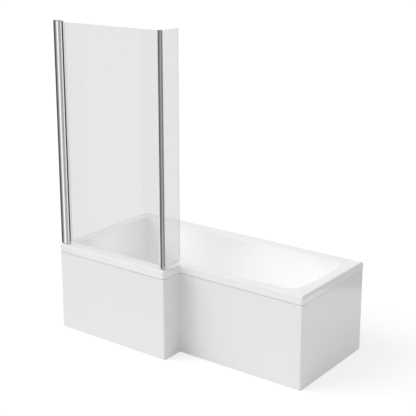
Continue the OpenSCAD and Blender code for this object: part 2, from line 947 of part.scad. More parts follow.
// Corner post: a square bar with a slot for each glass and a port for the caps' screws
module post_outline() {
    half = post_w / 2;
    polygon(rounded([[-half, -half, 2], [half, -half, 3.5], [half, half, 2], [-half, half, 1]], 6));
}

module corner_post() {
    half = post_w / 2;
    color("gray")
    translate([post_x, glass_y, rim_h + sweep_gap + post_cap_t])
        linear_extrude(glass_top - rim_h - sweep_gap - post_cap_t)
            difference() {
                post_outline();
                rect(-half - eps, -slot_w / 2, -half + slot_depth, slot_w / 2);
                rect(-slot_w / 2, half - slot_depth, slot_w / 2, half + eps);
                translate([half / 3, -half / 3]) circle(r = port_r, $fn = 24);
            }
}

module post_cap(z) {
    translate([post_x, glass_y, z]) linear_extrude(post_cap_t) post_outline();
}

module post_top_cap() {
    color("silver") post_cap(glass_top);
}

module post_bottom_cap() {
    color("dimgray") post_cap(rim_h + sweep_gap);
}

// Section of the clear strip under the glass: a channel for the glass with two wiping fins
module sweep_section() {
    half = glass_t / 2 + seal_out;
    base = glass_z - sweep_base;
    difference() {
        rect(-half, rim_h + sweep_gap, half, glass_z + sweep_up);
        rect(-glass_t / 2, glass_z, glass_t / 2, glass_z + sweep_up + eps);
        rect(-half + fin_t, rim_h, half - fin_t, base);
    }
}

module front_sweep() {
    a = hinge_x + clamp_len + eps;
    b = post_x - post_w / 2 - eps;
    color("aliceblue")
    translate([a, glass_y, 0]) rotate([90, 0, 90]) linear_extrude(b - a) sweep_section();
}

module return_sweep() {
    a = glass_y + post_w / 2 + eps;
    color("aliceblue")
    translate([post_x, return_end, 0]) rotate([90, 0, 0]) linear_extrude(return_end - a) sweep_section();
}

bath_shell();
base_board();
rim_battens();
leg_rail_left();
leg_rail_middle();
leg_rail_right();
rail_screws();
foot_studs();
lock_nuts();
foot_pads();
wall_brackets();
front_panel();
end_panel();
floor_battens();
waste_body();
waste_spider();
waste_washers();
waste_nut();
plug_cage();
plug_spring();
plug_cap();
plug_seal();
wall_profile();
adjuster_profile();
adjuster_screws();
profile_top_cap();
profile_bottom_cap();
pivot_pins();
pivot_bushes();
pivot_profile();
front_glass();
hinge_seal();
corner_post();
post_top_cap();
post_bottom_cap();
post_seals();
return_glass();
front_sweep();
return_sweep();
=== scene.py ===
# %% [markdown]
# # An L-shaped shower bath with a hinged glass screen
#
# The bath, its legs, panels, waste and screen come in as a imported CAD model, which is to size and
# already moves. This lesson gives every piece the surface that the real one has. A piece whose CAD
# shape is plain is modelled again, finer, in the same place.

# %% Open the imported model
from math import acos, asin, atan2, cos, pi, radians, sin, sqrt, tan

import bmesh
import bpy
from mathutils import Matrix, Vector
from mathutils.geometry import tessellate_polygon


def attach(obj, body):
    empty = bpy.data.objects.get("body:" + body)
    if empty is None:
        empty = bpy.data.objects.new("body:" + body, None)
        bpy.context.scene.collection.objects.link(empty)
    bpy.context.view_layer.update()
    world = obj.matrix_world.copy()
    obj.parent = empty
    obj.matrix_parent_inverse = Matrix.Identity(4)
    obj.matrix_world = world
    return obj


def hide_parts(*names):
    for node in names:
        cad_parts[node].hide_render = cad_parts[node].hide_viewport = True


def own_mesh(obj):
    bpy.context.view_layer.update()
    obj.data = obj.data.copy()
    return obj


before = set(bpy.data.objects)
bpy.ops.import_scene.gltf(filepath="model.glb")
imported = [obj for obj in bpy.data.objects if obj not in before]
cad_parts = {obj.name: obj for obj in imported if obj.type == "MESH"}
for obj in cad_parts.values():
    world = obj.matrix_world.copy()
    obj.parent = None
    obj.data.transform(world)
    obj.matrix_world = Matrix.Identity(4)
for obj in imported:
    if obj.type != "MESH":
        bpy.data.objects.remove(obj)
scene = bpy.context.scene
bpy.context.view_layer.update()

# %% [markdown]
# ## The sizes
#
# The sizes are in millimetres, as a bath fitter has them, and turn into metres only when a mesh is
# made. Nearly all are the CAD model's own. Two follow the photograph more closely: the rim's top edge
# is rounder, and the panels' faces stand nearly flush with the rim.

# %% The bath's sizes, in millimetres
MM = 0.001
LEFT, RIGHT, FRONT, BACK = -850, 850, -425, 425
STEP_X, STEP_Y = 0, -275
RIM, SKIRT, SHELL = 560, 510, 5
DECK_LEFT, DECK_FRONT, DECK_STEP, DECK_BACK, DECK_END = 92, 76, 55, 98, 64
DECK_NARROW, DECK_TAPER = 48, 22
DEPTH, WALL_RUN, REST_RUN, END_BOW = 400, 26, 230, 42
FLOOR_R, REST_R, LIP_R, RIM_EDGE_R, RIM_CORNER_R = 70, 150, 9, 14, 14
BASIN_R, STEP_R, BOW_FRONT_R, BOW_BACK_R = 38, 42, 70, 48
FLOOR = RIM - DEPTH
WASTE, WASTE_HOLE_R = (-612, 75), 26

# %% The screen's sizes, in millimetres
GLASS_Y, GLASS_HALF, GLASS_Z, GLASS_TOP, SCREEN_TOP = -391, 3, 570, 1952, 1960
HINGE_X, POST_X, RETURN_END = -797, -34, -233
PROFILE_LEN, PROFILE_RISE, FLANK, RIDGE_R = 44, 4, 11.393, 84.7
BARREL_R, CLAMP_LEN, POST_HALF, CAP_T = 8, 16, 10, 4
print("screen:", SCREEN_TOP - RIM, "mm tall, hinged", HINGE_X - LEFT, "mm from the wall")

# %% [markdown]
# ## The camera
#
# The photograph is taken from the right, a little above the rim, with a long lens. The numbers come
# from matching the corners of the bath and of the screen with the same corners in the picture. The
# small shift lowers the frame without tilting the camera any further.


# %% Place the camera
def put(name, data):
    """A new object in the scene."""
    thing = bpy.data.objects.new(name, data)
    scene.collection.objects.link(thing)
    return thing


def place_camera(eye, turn, tilt, lens, shift):
    data = bpy.data.cameras.new("camera")
    data.lens, data.sensor_width, data.shift_y, data.clip_end = lens, 36, shift, 200
    camera = put("camera", data)
    camera.location = eye
    camera.rotation_euler = (radians(90 - tilt), 0, radians(turn))
    scene.camera = camera


place_camera(eye=(3.3652, -4.4979, 2.5500), turn=36.775, tilt=14.424, lens=83.596, shift=-0.10)
scene.view_settings.view_transform = "Standard"
print("camera at", tuple(round(v, 2) for v in scene.camera.location))

# %% [markdown]
# ## Writing node trees as Python
#
# Materials and Geometry Nodes are both trees of nodes. Here one method adds any node, with its sockets
# and its settings, and what it gives back can be added and multiplied as a number can. A bump that is
# "grain times 0.3 plus dents" is then written in those words.


# %% A socket that does arithmetic
class Wire:
    """One output of a node. Sums and products of wires add Math nodes."""

    def __init__(self, graph, socket):
        self.graph, self.socket = graph, socket

    def also(self, name):
        """Another output of the same node."""
        return Wire(self.graph, self.graph.find(self.socket.node.outputs, name))

    def math(self, operation, *values):
        sockets = dict(zip(("Value", "Value_001"), values))
        return self.graph.node("ShaderNodeMath", sockets, operation=operation)

    def __add__(self, other):
        return self.math("ADD", self, other)

    def __rsub__(self, other):
        return self.math("SUBTRACT", other, self)

    def __mul__(self, other):
        return self.math("MULTIPLY", self, other)

    def __pow__(self, other):
        return self.math("POWER", self, other)

    __radd__, __rmul__ = __add__, __mul__

    def sine(self):
        return self.math("SINE", self)

    def most(self, other):
        return self.math("MAXIMUM", self, other)

    def between(self, low, high):
        """0 at low, 1 at high, smooth in the middle."""
        sockets = {"Value": self, "From Min": low, "From Max": high}
        return self.graph.node("ShaderNodeMapRange", sockets, interpolation_type="SMOOTHSTEP")


# %% A tree that is written as Python
class Graph:
    """A material's or a modifier's node tree."""

    def __init__(self, tree):
        self.tree = tree

    @staticmethod
    def find(sockets, name):
        return next((s for s in sockets if s.identifier == name), None) or sockets[name]

    def node(self, kind, sockets=None, output=0, **settings):
        """Adds a node and gives back one output. The wires of a tuple all go into one socket."""
        made = self.tree.nodes.new(kind)
        for name, value in settings.items():
            setattr(made, name, value)
        for name, value in (sockets or {}).items():
            for each in value if isinstance(value, tuple) and isinstance(value[0], Wire) else [value]:
                if isinstance(each, Wire):
                    self.tree.links.new(each.socket, self.find(made.inputs, name))
                else:
                    self.find(made.inputs, name).default_value = each
        if not made.outputs:
            return None
        given = made.outputs[output] if isinstance(output, int) else self.find(made.outputs, output)
        return Wire(self, given)

    def place(self, stretch=(1, 1, 1), turn=(0, 0, 0), where=None):
        """Where a point lies on the piece, stretched and turned for a pattern."""
        where = where or self.node("ShaderNodeTexCoord", output="Object")
        turned = [radians(a) for a in turn]
        return self.node("ShaderNodeMapping", {"Vector": where, "Scale": stretch, "Rotation": turned})

    def noise(self, scale, detail=2, stretch=(1, 1, 1), turn=(0, 0, 0), where=None):
        where = where or self.place(stretch, turn)
        return self.node("ShaderNodeTexNoise", {"Vector": where, "Scale": scale, "Detail": detail})

    def flakes(self, scale, stretch=(1, 1, 1)):
        """A pattern of flat flakes, each with a grey of its own."""
        sockets = {"Vector": self.place(stretch), "Scale": scale}
        colour = self.node("ShaderNodeTexVoronoi", sockets, "Color")
        return self.node("ShaderNodeRGBToBW", {"Color": colour})

    def blend(self, amount, dark, light):
        """A colour from dark to light, by an amount from 0 to 1."""
        sockets = {"Factor_Float": amount}
        for name, colour in (("A_Color", dark), ("B_Color", light)):
            sockets[name] = colour if isinstance(colour, Wire) else (*colour, 1)
        return self.node("ShaderNodeMix", sockets, "Result_Color", data_type="RGBA")

    def bump(self, height, distance, strength=1):
        sockets = {"Height": height, "Distance": distance, "Strength": strength}
        return self.node("ShaderNodeBump", sockets)

    def straight_look(self):
        """One for the camera and for what mirrors and glass show it, none for light that bounces."""
        ray = self.node("ShaderNodeLightPath", output="Is Camera Ray")
        return ray.most(ray.also("Is Glossy Ray")).most(ray.also("Is Transmission Ray"))

    def glow(self, strength):
        return self.node("ShaderNodeEmission", {"Color": (1, 1, 1, 1), "Strength": strength})


# %% The end of every material
def bare(owner):
    """The emptied node tree of a material or a world."""
    owner.use_nodes = True
    owner.node_tree.nodes.clear()
    return Graph(owner.node_tree)


def new_look(name, surface, *numbers):
    """A material with the shader that surface(graph, *numbers) returns."""
    material = bpy.data.materials.new(name)
    graph = bare(material)
    graph.node("ShaderNodeOutputMaterial", {"Surface": surface(graph, *numbers)})
    return material


def new_finish(name, sockets, *numbers):
    """A material whose Principled shader takes what sockets(graph, *numbers) returns."""
    return new_look(name, lambda g: g.node("ShaderNodeBsdfPrincipled", sockets(g, *numbers)))


def finish(sockets):
    """Written above a function, it turns that into a material of the function's name."""
    return new_finish(sockets.__name__, sockets)


# %% [markdown]
# ## Acrylic
#
# The bath is one sheet of white acrylic, heated and drawn over a mould, so it has a wet gloss and a
# barely visible ripple. The panels are thinner sheets, with a longer ripple that runs up and down. A
# clear coat on the shader gives the gloss, and noise of two sizes gives the ripple.


# %% White acrylic for the bath
@finish
def white_acrylic(g):
    ripple = g.noise(7, 1) + g.noise(420, 1) * 0.012
    return {"Base Color": g.blend(g.noise(2.5, 3), (0.925, 0.93, 0.93), (0.95, 0.95, 0.947)),
            "Roughness": 0.16 + g.noise(30, 3) * 0.08,
            "Coat Weight": 0.5, "Coat Roughness": 0.04, "IOR": 1.49,
            "Normal": g.bump(ripple, 0.0012, 0.3)}


# %% White sheet for the panels
@finish
def white_sheet(g):
    sway = g.noise(2.2, 1, stretch=(1.6, 1.6, 0.45)) + g.noise(500, 1) * 0.006
    return {"Base Color": g.blend(g.noise(1.8, 2), (0.885, 0.887, 0.89), (0.91, 0.91, 0.908)),
            "Roughness": 0.2 + g.noise(26, 3) * 0.1,
            "Coat Weight": 0.35, "Coat Roughness": 0.08, "IOR": 1.49,
            "Normal": g.bump(sway, 0.004, 0.35)}


# %% [markdown]
# ## The glass-fibre backing
#
# Acrylic alone would bend, so its back is sprayed with resin and chopped strands of glass. Noise
# stretched along one direction gives strands, and four such layers, each one turned, are laid over each
# other. Air bubbles and thick runs of resin come from a coarser noise.


# %% Chopped strands in resin
@finish
def glass_fibre_backing(g):
    strands = g.noise(30, 1, stretch=(1, 14, 14), turn=(10, 20, 15)).between(0.52, 0.62)
    for layer in (g.noise(30, 1, stretch=(14, 1, 14), turn=(25, -15, 40)),
                  g.noise(30, 1, stretch=(14, 14, 1), turn=(-20, 35, 10)),
                  g.noise(26, 1, stretch=(12, 1.2, 12), turn=(40, 10, -35))):
        strands = strands.most(layer.between(0.53, 0.63))
    runs = g.noise(9, 4)
    wet = g.blend(runs.between(0.35, 0.65), (0.60, 0.61, 0.56), (0.72, 0.725, 0.69))
    return {"Base Color": g.blend(strands * 0.7, wet, (0.82, 0.82, 0.79)),
            "Roughness": 0.55 - strands * 0.2,
            "Normal": g.bump(strands * 0.35 + runs, 0.0012, 0.8)}


# %% [markdown]
# ## Metals
#
# Aluminium is drawn through a die, which leaves lines along the length, far too fine to see one by one,
# that stretch each highlight. Galvanised steel shows the crystals of its zinc, each a slightly
# different grey. Chrome is nearly a mirror with a few smudges, and brass has rings from the lathe.


# %% Drawn aluminium
def drawn_aluminium(g, tint, polish):
    lines = g.noise(900, 2, stretch=(1, 1, 0.012))
    film = g.noise(8, 3, stretch=(1, 1, 0.3))
    return {"Base Color": g.blend(film, [t * 0.95 for t in tint], tint),
            "Metallic": 1.0, "Roughness": polish + lines * 0.05 + film * 0.03,
            "Normal": g.bump(lines, 0.00003, 0.25)}


polished_profile = new_finish("polished_profile", drawn_aluminium, (0.94, 0.943, 0.947), 0.05)
polished_post = new_finish("polished_post", drawn_aluminium, (0.88, 0.883, 0.887), 0.06)


# %% Galvanised and stainless steel
@finish
def galvanised_steel(g):
    grey, dull = g.flakes(130), g.noise(18, 4)
    return {"Base Color": g.blend(grey, (0.56, 0.575, 0.59), (0.74, 0.75, 0.76)),
            "Metallic": 1.0, "Roughness": 0.28 + grey * 0.14 + dull * 0.12,
            "Normal": g.bump(grey + dull * 0.5, 0.0001, 0.3)}


@finish
def stainless_steel(g):
    scuffs = g.noise(260, 4)
    return {"Base Color": g.blend(scuffs, (0.62, 0.62, 0.61), (0.76, 0.76, 0.75)),
            "Metallic": 1.0, "Roughness": 0.2 + scuffs * 0.12,
            "Normal": g.bump(scuffs, 0.00004, 0.3)}


# %% Chrome, satin silver and turned brass
@finish
def polished_chrome(g):
    smudge = g.noise(60, 4)
    return {"Base Color": g.blend(smudge, (0.80, 0.81, 0.83), (0.88, 0.885, 0.89)),
            "Metallic": 1.0, "Roughness": 0.03 + smudge.between(0.5, 0.75) * 0.07,
            "Normal": g.bump(smudge, 0.00004, 0.2)}


@finish
def silvered_cap(g):
    grain = g.noise(800, 2)
    return {"Base Color": g.blend(g.noise(20, 3), (0.50, 0.505, 0.51), (0.58, 0.585, 0.59)),
            "Metallic": 0.9, "Roughness": 0.26 + grain * 0.1,
            "Normal": g.bump(grain, 0.00003, 0.3)}


@finish
def turned_brass(g):
    rings = g.noise(900, 1, stretch=(0.04, 0.04, 1))
    return {"Base Color": g.blend(g.noise(90, 3), (0.55, 0.38, 0.15), (0.78, 0.60, 0.29)),
            "Metallic": 1.0, "Roughness": 0.22 + rings * 0.14,
            "Normal": g.bump(rings, 0.00008, 0.4)}


# %% [markdown]
# ## Timber and chipboard
#
# The battens are sawn along the grain, so the year rings show as long bands, bent a little where the
# tree leaned. The bands run along each batten, whichever way it lies, because its mesh carries a
# lengthwise coordinate under the name grain. Chipboard is flakes in glue.


# %% Sawn softwood and chipboard
@finish
def sawn_softwood(g):
    grain = g.node("ShaderNodeAttribute", output="Vector", attribute_name="grain")
    along = g.place((0.35, 6.0, 6.0), where=grain)
    across = g.node("ShaderNodeSeparateXYZ", {"Vector": along}, "Y")
    rings = ((across * 14 + g.noise(3, 2, where=along) * 9) * 3.0).sine() * 0.5 + 0.5
    teeth = g.noise(8, 2, where=g.place((60.0, 4.0, 4.0), where=grain))
    fibre = g.noise(120, 3, where=along)
    tone = (rings ** 3) * 0.65 + fibre * 0.35
    return {"Base Color": g.blend(tone, (0.70, 0.52, 0.31), (0.50, 0.32, 0.155)),
            "Roughness": 0.62 + teeth * 0.2,
            "Normal": g.bump(teeth * 0.6 + fibre * 0.4, 0.0006, 0.5)}


@finish
def chipboard(g):
    dust = g.noise(600, 2)
    tone = g.flakes(210, (1, 1, 2.2)) * 0.75 + dust * 0.25
    return {"Base Color": g.blend(tone, (0.30, 0.19, 0.09), (0.66, 0.48, 0.28)),
            "Roughness": 0.75 + dust * 0.15, "Normal": g.bump(tone, 0.0004, 0.5)}


# %% [markdown]
# ## Rubber, nylon and moulded plastic
#
# None of these is one flat colour: rubber has a dusty bloom, nylon is a warm ivory, and a moulded foot
# carries the fine spark texture of its tool.


# %% Rubber and plastics
@finish
def black_rubber(g):
    bloom = g.noise(45, 4)
    return {"Base Color": g.blend(bloom, (0.018, 0.018, 0.019), (0.05, 0.05, 0.05)),
            "Roughness": 0.6 + bloom * 0.25, "Normal": g.bump(g.noise(700, 2), 0.0001, 0.4)}


def moulded(g, dark, light, gloss):
    spark = g.noise(1400, 2)
    return {"Base Color": g.blend(g.noise(25, 3), dark, light),
            "Roughness": gloss + spark * 0.12, "Normal": g.bump(spark, 0.00005, 0.4)}


moulded_foot = new_finish("moulded_foot", moulded, (0.02, 0.02, 0.022), (0.04, 0.04, 0.043), 0.38)
dark_cap = new_finish("dark_cap", moulded, (0.05, 0.052, 0.055), (0.075, 0.077, 0.08), 0.3)
ivory_nylon = new_finish("ivory_nylon", moulded, (0.74, 0.71, 0.62), (0.82, 0.79, 0.70), 0.35)

# %% [markdown]
# ## Glass and clear seals
#
# In the photograph the panes look milky in front of white, and the short one is paler. So each face
# lets most of the light straight through and adds a thin grey film. The two panes are the same glass,
# and the short pane's paler copy of the film is painted light. Along a cut edge light runs far inside
# the glass and comes out green, so the edge has a finish of its own. The seals are clear vinyl, milky
# where it is thick.


# %% Glass faces, glass edges and vinyl
def pane_face(g, tint):
    film = g.noise(3, 2)
    return {"Base Color": g.blend(film, tint, [t * 1.04 for t in tint]),
            "Roughness": 0.02 + film * 0.02, "Alpha": 0.3 + film * 0.02, "IOR": 1.52}


@finish
def glass_edge(g):
    streak = g.noise(90, 2, stretch=(1, 1, 0.03))
    return {"Base Color": g.blend(streak, (0.46, 0.53, 0.51), (0.58, 0.64, 0.62)),
            "Roughness": 0.06 + streak * 0.05, "Alpha": 0.6 + streak * 0.1, "IOR": 1.52}


def thick_vinyl(g, tint, body):
    haze = g.noise(55, 3)
    return {"Base Color": g.blend(haze, [t * 0.96 for t in tint], tint),
            "Roughness": 0.12 + haze * 0.1, "Alpha": body + haze * 0.12,
            "Normal": g.bump(g.noise(300, 1, stretch=(1, 1, 0.05)), 0.0001, 0.3)}


safety_glass = new_finish("safety_glass", pane_face, (0.64, 0.65, 0.655))
# Painted light: the same glass as the long pane, with a paler film so that it looks more brightly lit.
short_glass_painted_paler = new_finish("safety_glass_painted_paler", pane_face, (0.83, 0.84, 0.84))
clear_vinyl = new_finish("clear_vinyl", thick_vinyl, (0.97, 0.975, 0.98), 0.88)
sweep_vinyl = new_finish("blue_white_vinyl", thick_vinyl, (0.93, 0.955, 0.97), 0.45)
print("finishes:", len(bpy.data.materials))

# %% [markdown]
# ## Building forms from points
#
# Most pieces of a bath are a skin over rings of points, a section drawn along a line, or a section
# turned on a lathe. Form collects points and faces for all three. The mesh is then merged and its faces
# are turned outwards. A small bevel follows, because no real edge is perfectly sharp and a bevel is
# what catches the light.


# %% Points and faces
class Form:
    """Points in millimetres, the faces between them, and each face's finish by number."""

    def __init__(self):
        self.points, self.faces, self.tones, self.grain = [], [], [], []

    def ring(self, points):
        start = len(self.points)
        self.points += [tuple(p) for p in points]
        return list(range(start, len(self.points)))

    def level(self, line, z):
        """A ring of (x, y) points at one height."""
        return self.ring([(x, y, z) for x, y in line])

    def face(self, corners, tone):
        self.faces.append(corners)
        self.tones.append(tone)

    def skin(self, rings, tones=0, closed=False):
        """Faces from each ring to the next. tones is one number, or one for each side."""
        for low, high in zip(rings, rings[1:] + rings[:1] if closed else rings[1:]):
            for i in range(len(low)):
                j = (i + 1) % len(low)
                tone = tones if isinstance(tones, int) else tones[i]
                self.face((low[i], low[j], high[j], high[i]), tone)

    def fill(self, *loops, tone=0):
        """One flat face, or with holes, triangles inside the first loop and outside the others."""
        if len(loops) == 1:
            self.face(loops[0], tone)
            return
        flat = [i for loop in loops for i in loop]
        for face in tessellate_polygon([[Vector(self.points[i]) for i in loop] for loop in loops]):
            self.face([flat[i] for i in face], tone)

    def draw(self, section, low, high, holes=(), place=lambda u, v, w: (u, v, w), tones=0, caps=0):
        """A section drawn along a straight line from low to high."""
        ends = [], []
        for loop in (section, *holes):
            pair = [self.ring([place(u, v, w) for u, v in loop]) for w in (low, high)]
            self.skin(pair, tones if loop is section else 0)
            for end, ring in zip(ends, pair):
                end.append(ring)
        for end in ends:
            self.fill(*end, tone=caps)
        return self

    def turn(self, section, arc=4, centre=(0, 0), steps=72):
        """A closed section of (radius, height, rounding), turned about an upright axis."""
        turned = [self.level(circle(r, centre, steps), z) for r, z in outline(section, arc, 0.1)]
        self.skin(turned, closed=True)
        return self


# %% From a form to a mesh with soft edges
def mesh_of(name, form, finishes):
    bm = bmesh.new()
    layer = bm.verts.layers.float_vector.new("grain") if form.grain else None
    corners = [bm.verts.new(Vector(p) * MM) for p in form.points]
    for vertex, value in zip(corners, form.grain):
        vertex[layer] = Vector(value) * MM
    for face, tone in zip(form.faces, form.tones):
        made = bm.faces.new([corners[i] for i in face])
        made.material_index, made.smooth = tone, True
    bmesh.ops.remove_doubles(bm, verts=bm.verts, dist=1e-6)
    count = 0
    while count != len(bm.faces):
        count = len(bm.faces)
        bmesh.ops.dissolve_degenerate(bm, dist=1e-6, edges=bm.edges)
    bmesh.ops.delete(bm, geom=[e for e in bm.edges if not e.link_faces], context="EDGES")
    bmesh.ops.recalc_face_normals(bm, faces=bm.faces)
    mesh = bpy.data.meshes.new(name)
    bm.to_mesh(mesh)
    bm.free()
    for each in finishes:
        mesh.materials.append(each)
    return mesh


def finish_edges(piece, bevel, limit=40):
    """Edges sharper than limit get a small bevel. Without a bevel they are only shaded sharp."""
    if bevel:
        soft = piece.modifiers.new("soft edges", "BEVEL")
        soft.width, soft.segments, soft.harden_normals = bevel * MM, 2, True
        soft.limit_method, soft.angle_limit = "ANGLE", radians(limit)
    else:
        piece.data.set_sharp_from_angle(angle=radians(limit))
    return piece


# %% From a mesh to a finished piece
def fit(piece, body="bath", node=None):
    """The piece rides on a body and hides the plain CAD node."""
    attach(piece, body)
    if node:
        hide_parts(node)
    return piece


def make(node, kind, form, finishes, body="bath", bevel=0.0, limit=40):
    """A finer piece in the place of a CAD node, named after it and after how it is made."""
    name = f"{node}_{kind}"
    piece = finish_edges(put(name, mesh_of(name, form, finishes)), bevel, limit)
    print(name, len(piece.data.polygons), "faces")
    return fit(piece, body, node)


# %% [markdown]
# ## Rounded outlines
#
# A corner is rounded with an arc that touches both straights. One more point is put a little way along
# each straight, so that the smooth shading of the arc doesn't spread over the flat beside it.


# %% Outlines with rounded corners
def corner(p, q, s, radius, steps=10, lead=1.0):
    """The arc that rounds the corner at q, on the way from p to s."""
    p, q, s = Vector(p), Vector(q), Vector(s)
    a, b = (p - q).normalized(), (s - q).normalized()
    half = acos(max(-1.0, min(1.0, a.dot(b)))) / 2
    run = radius / tan(half)
    centre = q + (a + b).normalized() * radius / sin(half)
    first, last = q + a * run - centre, q + b * run - centre
    start = atan2(first.y, first.x)
    turn = (atan2(last.y, last.x) - start + pi) % (2 * pi) - pi
    angles = [start + turn * i / steps for i in range(steps + 1)]
    points = [centre + radius * Vector((cos(t), sin(t))) for t in angles]
    if lead:
        points = [q + a * (run + lead), *points, q + b * (run + lead)]
    return [tuple(v) for v in points]


def outline(corners, steps=10, lead=1.0):
    """A closed outline through corners, (x, y) where one is sharp and (x, y, radius) where round."""
    points = []
    for i, (x, y, *radius) in enumerate(corners):
        before, after = corners[i - 1][:2], corners[(i + 1) % len(corners)][:2]
        points += corner(before, (x, y), after, *radius, steps, lead) if radius else [(x, y)]
    return points


def circle(radius, centre=(0, 0), steps=64, start=0.0, sweep=2 * pi):
    """Points round a circle. Over a smaller sweep it is an arc with both its ends."""
    count = steps if sweep == 2 * pi else steps + 1
    angles = [start + sweep * i / steps for i in range(count)]
    return [(centre[0] + radius * cos(a), centre[1] + radius * sin(a)) for a in angles]


def box(x0, y0, x1, y1):
    return [(x0, y0), (x1, y0), (x1, y1), (x0, y1)]


# %% [markdown]
# ## The bath itself
#
# The bath is an L seen from above, with a downstand round the rim and a basin that leans in on every
# side, steeply at the walls and gently at the backrest. It follows a rule, so it is lofted. At each
# height the basin's outline has moved in by a certain distance, and the foot and the lip are quarter
# circles. The same rule, grown by the sheet's thickness, gives the underside, which gets the
# glass-fibre finish.


# %% How the basin's sides lean in
def lean(height, depth, run, foot):
    rounding = foot - sqrt(foot ** 2 - (foot - height) ** 2) if height < foot else 0
    return run * (1 - height / depth) + rounding


def basin_line(height, grow=0.0, more=0.0):
    """The basin's outline at a height above its floor, on a skin grown outwards."""
    up = height - DEPTH + LIP_R
    flare = grow or (LIP_R - sqrt(max(LIP_R ** 2 - up ** 2, 0)) if up > 0 else 0)
    side = lean(height, DEPTH + grow, WALL_RUN, FLOOR_R + grow) - flare + more
    rest = lean(height, DEPTH + grow, REST_RUN, REST_R + grow) - flare + more
    x_left, x_step = LEFT + DECK_LEFT + side, STEP_X - DECK_STEP - side
    x_bow = RIGHT - DECK_END - rest
    y_front, y_step = FRONT + DECK_FRONT + side, STEP_Y + DECK_NARROW + side
    y_end, y_back = y_step + DECK_TAPER, BACK - DECK_BACK - side
    half = (y_back - y_end) / 2
    bow_r = 0.45 * half ** 2 / END_BOW
    return outline([
        (x_left, y_front, BASIN_R + grow), (x_step, y_front, BASIN_R + grow),
        (x_step, y_step, STEP_R - grow), (x_bow - END_BOW, y_end, BOW_FRONT_R + grow),
        (x_bow, y_end + half, bow_r), (x_bow - END_BOW, y_back, BOW_BACK_R + grow),
        (x_left, y_back, BASIN_R + grow)], steps=18)


def rim_line(a):
    """The rim's outline, moved in by a distance."""
    r = max(RIM_CORNER_R - a, 2)
    return outline([
        (LEFT + a, FRONT + a, r), (STEP_X - a, FRONT + a, r),
        (STEP_X - a, STEP_Y + a, RIM_CORNER_R + a), (RIGHT - a, STEP_Y + a, r),
        (RIGHT - a, BACK - a, r), (LEFT + a, BACK - a, r)])


# %% The heights at which the basin is measured
quarter = [radians(a) for a in range(0, 91, 6)]
feet = [radius * (1 - cos(a)) for radius in (FLOOR_R, REST_R) for a in quarter]
levels = sorted(feet + [190, 240, 290, 340, 375])
levels = [h for i, h in enumerate(levels) if i == 0 or h - levels[i - 1] > 0.8]
lip = [DEPTH - LIP_R * (1 - sin(radians(a))) for a in range(0, 91, 9)]
print("basin outline:", len(basin_line(0)), "points at", len(levels) + len(lip), "heights")


# %% Loft the bath
def loft_bath():
    form = Form()
    hole = circle(WASTE_HOLE_R, WASTE)
    top_hole, low_hole = form.level(hole, FLOOR), form.level(hole, FLOOR - SHELL)
    line = [(0, 1), *((h, 0) for h in levels + lip), (DEPTH, -1)]
    inside = [form.level(basin_line(h, more=more), FLOOR + h) for h, more in line]
    edge = [(RIM_EDGE_R + 1, RIM)]
    edge += [(RIM_EDGE_R * (1 - sin(a)), RIM - RIM_EDGE_R * (1 - cos(a))) for a in quarter]
    edge += [(0, RIM - RIM_EDGE_R - 1), (0, SKIRT + 2), (0, SKIRT + 1), (0.3, SKIRT + 0.3), (1, SKIRT)]
    outer = [form.level(rim_line(inset), z) for inset, z in edge]
    top, r = RIM - SHELL, RIM_EDGE_R - SHELL
    edge = [(1, SKIRT), (4, SKIRT), (SHELL, SKIRT + 1)]
    edge += [(SHELL + r * (1 - cos(a)), top - r * (1 - sin(a))) for a in quarter]
    edge += [(RIM_EDGE_R + 1, top)]
    under = [form.level(rim_line(inset), z) for inset, z in edge]
    line = [(DEPTH, -1), (DEPTH, 0), *((h, 0) for h in levels[::-1]), (0, 1)]
    outside = [form.level(basin_line(h, SHELL, more), FLOOR - SHELL + h) for h, more in line]
    form.fill(inside[0], top_hole)
    form.skin(inside)
    form.fill(outer[0], inside[-1])
    form.skin(outer)
    form.skin(under, 1)
    form.fill(under[-1], outside[0], tone=1)
    form.skin(outside, 1)
    form.fill(outside[-1], low_hole, tone=1)
    form.skin([top_hole, low_hole])
    return form


make("bath_shell", "fine", loft_bath(), [white_acrylic, glass_fibre_backing])

# %% [markdown]
# ## The panels
#
# The front panel is one sheet, bent round the step and a little way round the far corner, where the
# flat end panel takes over. Just below the rim each sheet steps back over a rounded shoulder, so that
# its top stands behind the downstand and a thin dark line is left between the two. The sheet's section
# is written once, as pairs of points on its two sides, and each pair gives one ring of the form. Its
# back is sprayed like the bath's.


# %% The sheet's section, from its foot to its top
PANEL_TOP, PANEL_T, PANEL_SET, PANEL_FACE, SHOULDER, TURNED = 537, 3, 9, 2.5, 507.5, 20
SHOULDER_R, INSIDE_R = 2.5, 1
bends = [radians(a) for a in range(0, 91, 15)]


def sheet_section():
    """Pairs of (distance from the rim's edge, height), for the sheet's face and its back."""
    face, back, under = PANEL_FACE, PANEL_FACE + PANEL_T, SHOULDER - PANEL_T
    foot, lift, around = PANEL_SET - INSIDE_R, SHOULDER + 1.1, INSIDE_R + PANEL_T
    pairs = [((face, 0), (back, 0)), ((face, SHOULDER - 4), (back, under - 2))]
    pairs += [((face + SHOULDER_R * (1 - cos(a)), SHOULDER - SHOULDER_R * (1 - sin(a))),
               (back + INSIDE_R - cos(a), under - INSIDE_R + sin(a))) for a in bends]
    pairs += [((foot + sin(a), lift - cos(a)),
               (foot + around * sin(a), lift - around * cos(a))) for a in bends]
    return pairs + [((PANEL_SET, z), (PANEL_SET + PANEL_T, z)) for z in (SHOULDER + 2, PANEL_TOP)]


def bend(d):
    """The radius of the sheet where it is bent outwards, at a distance from the rim's edge."""
    return max(11.5 - d, 1)


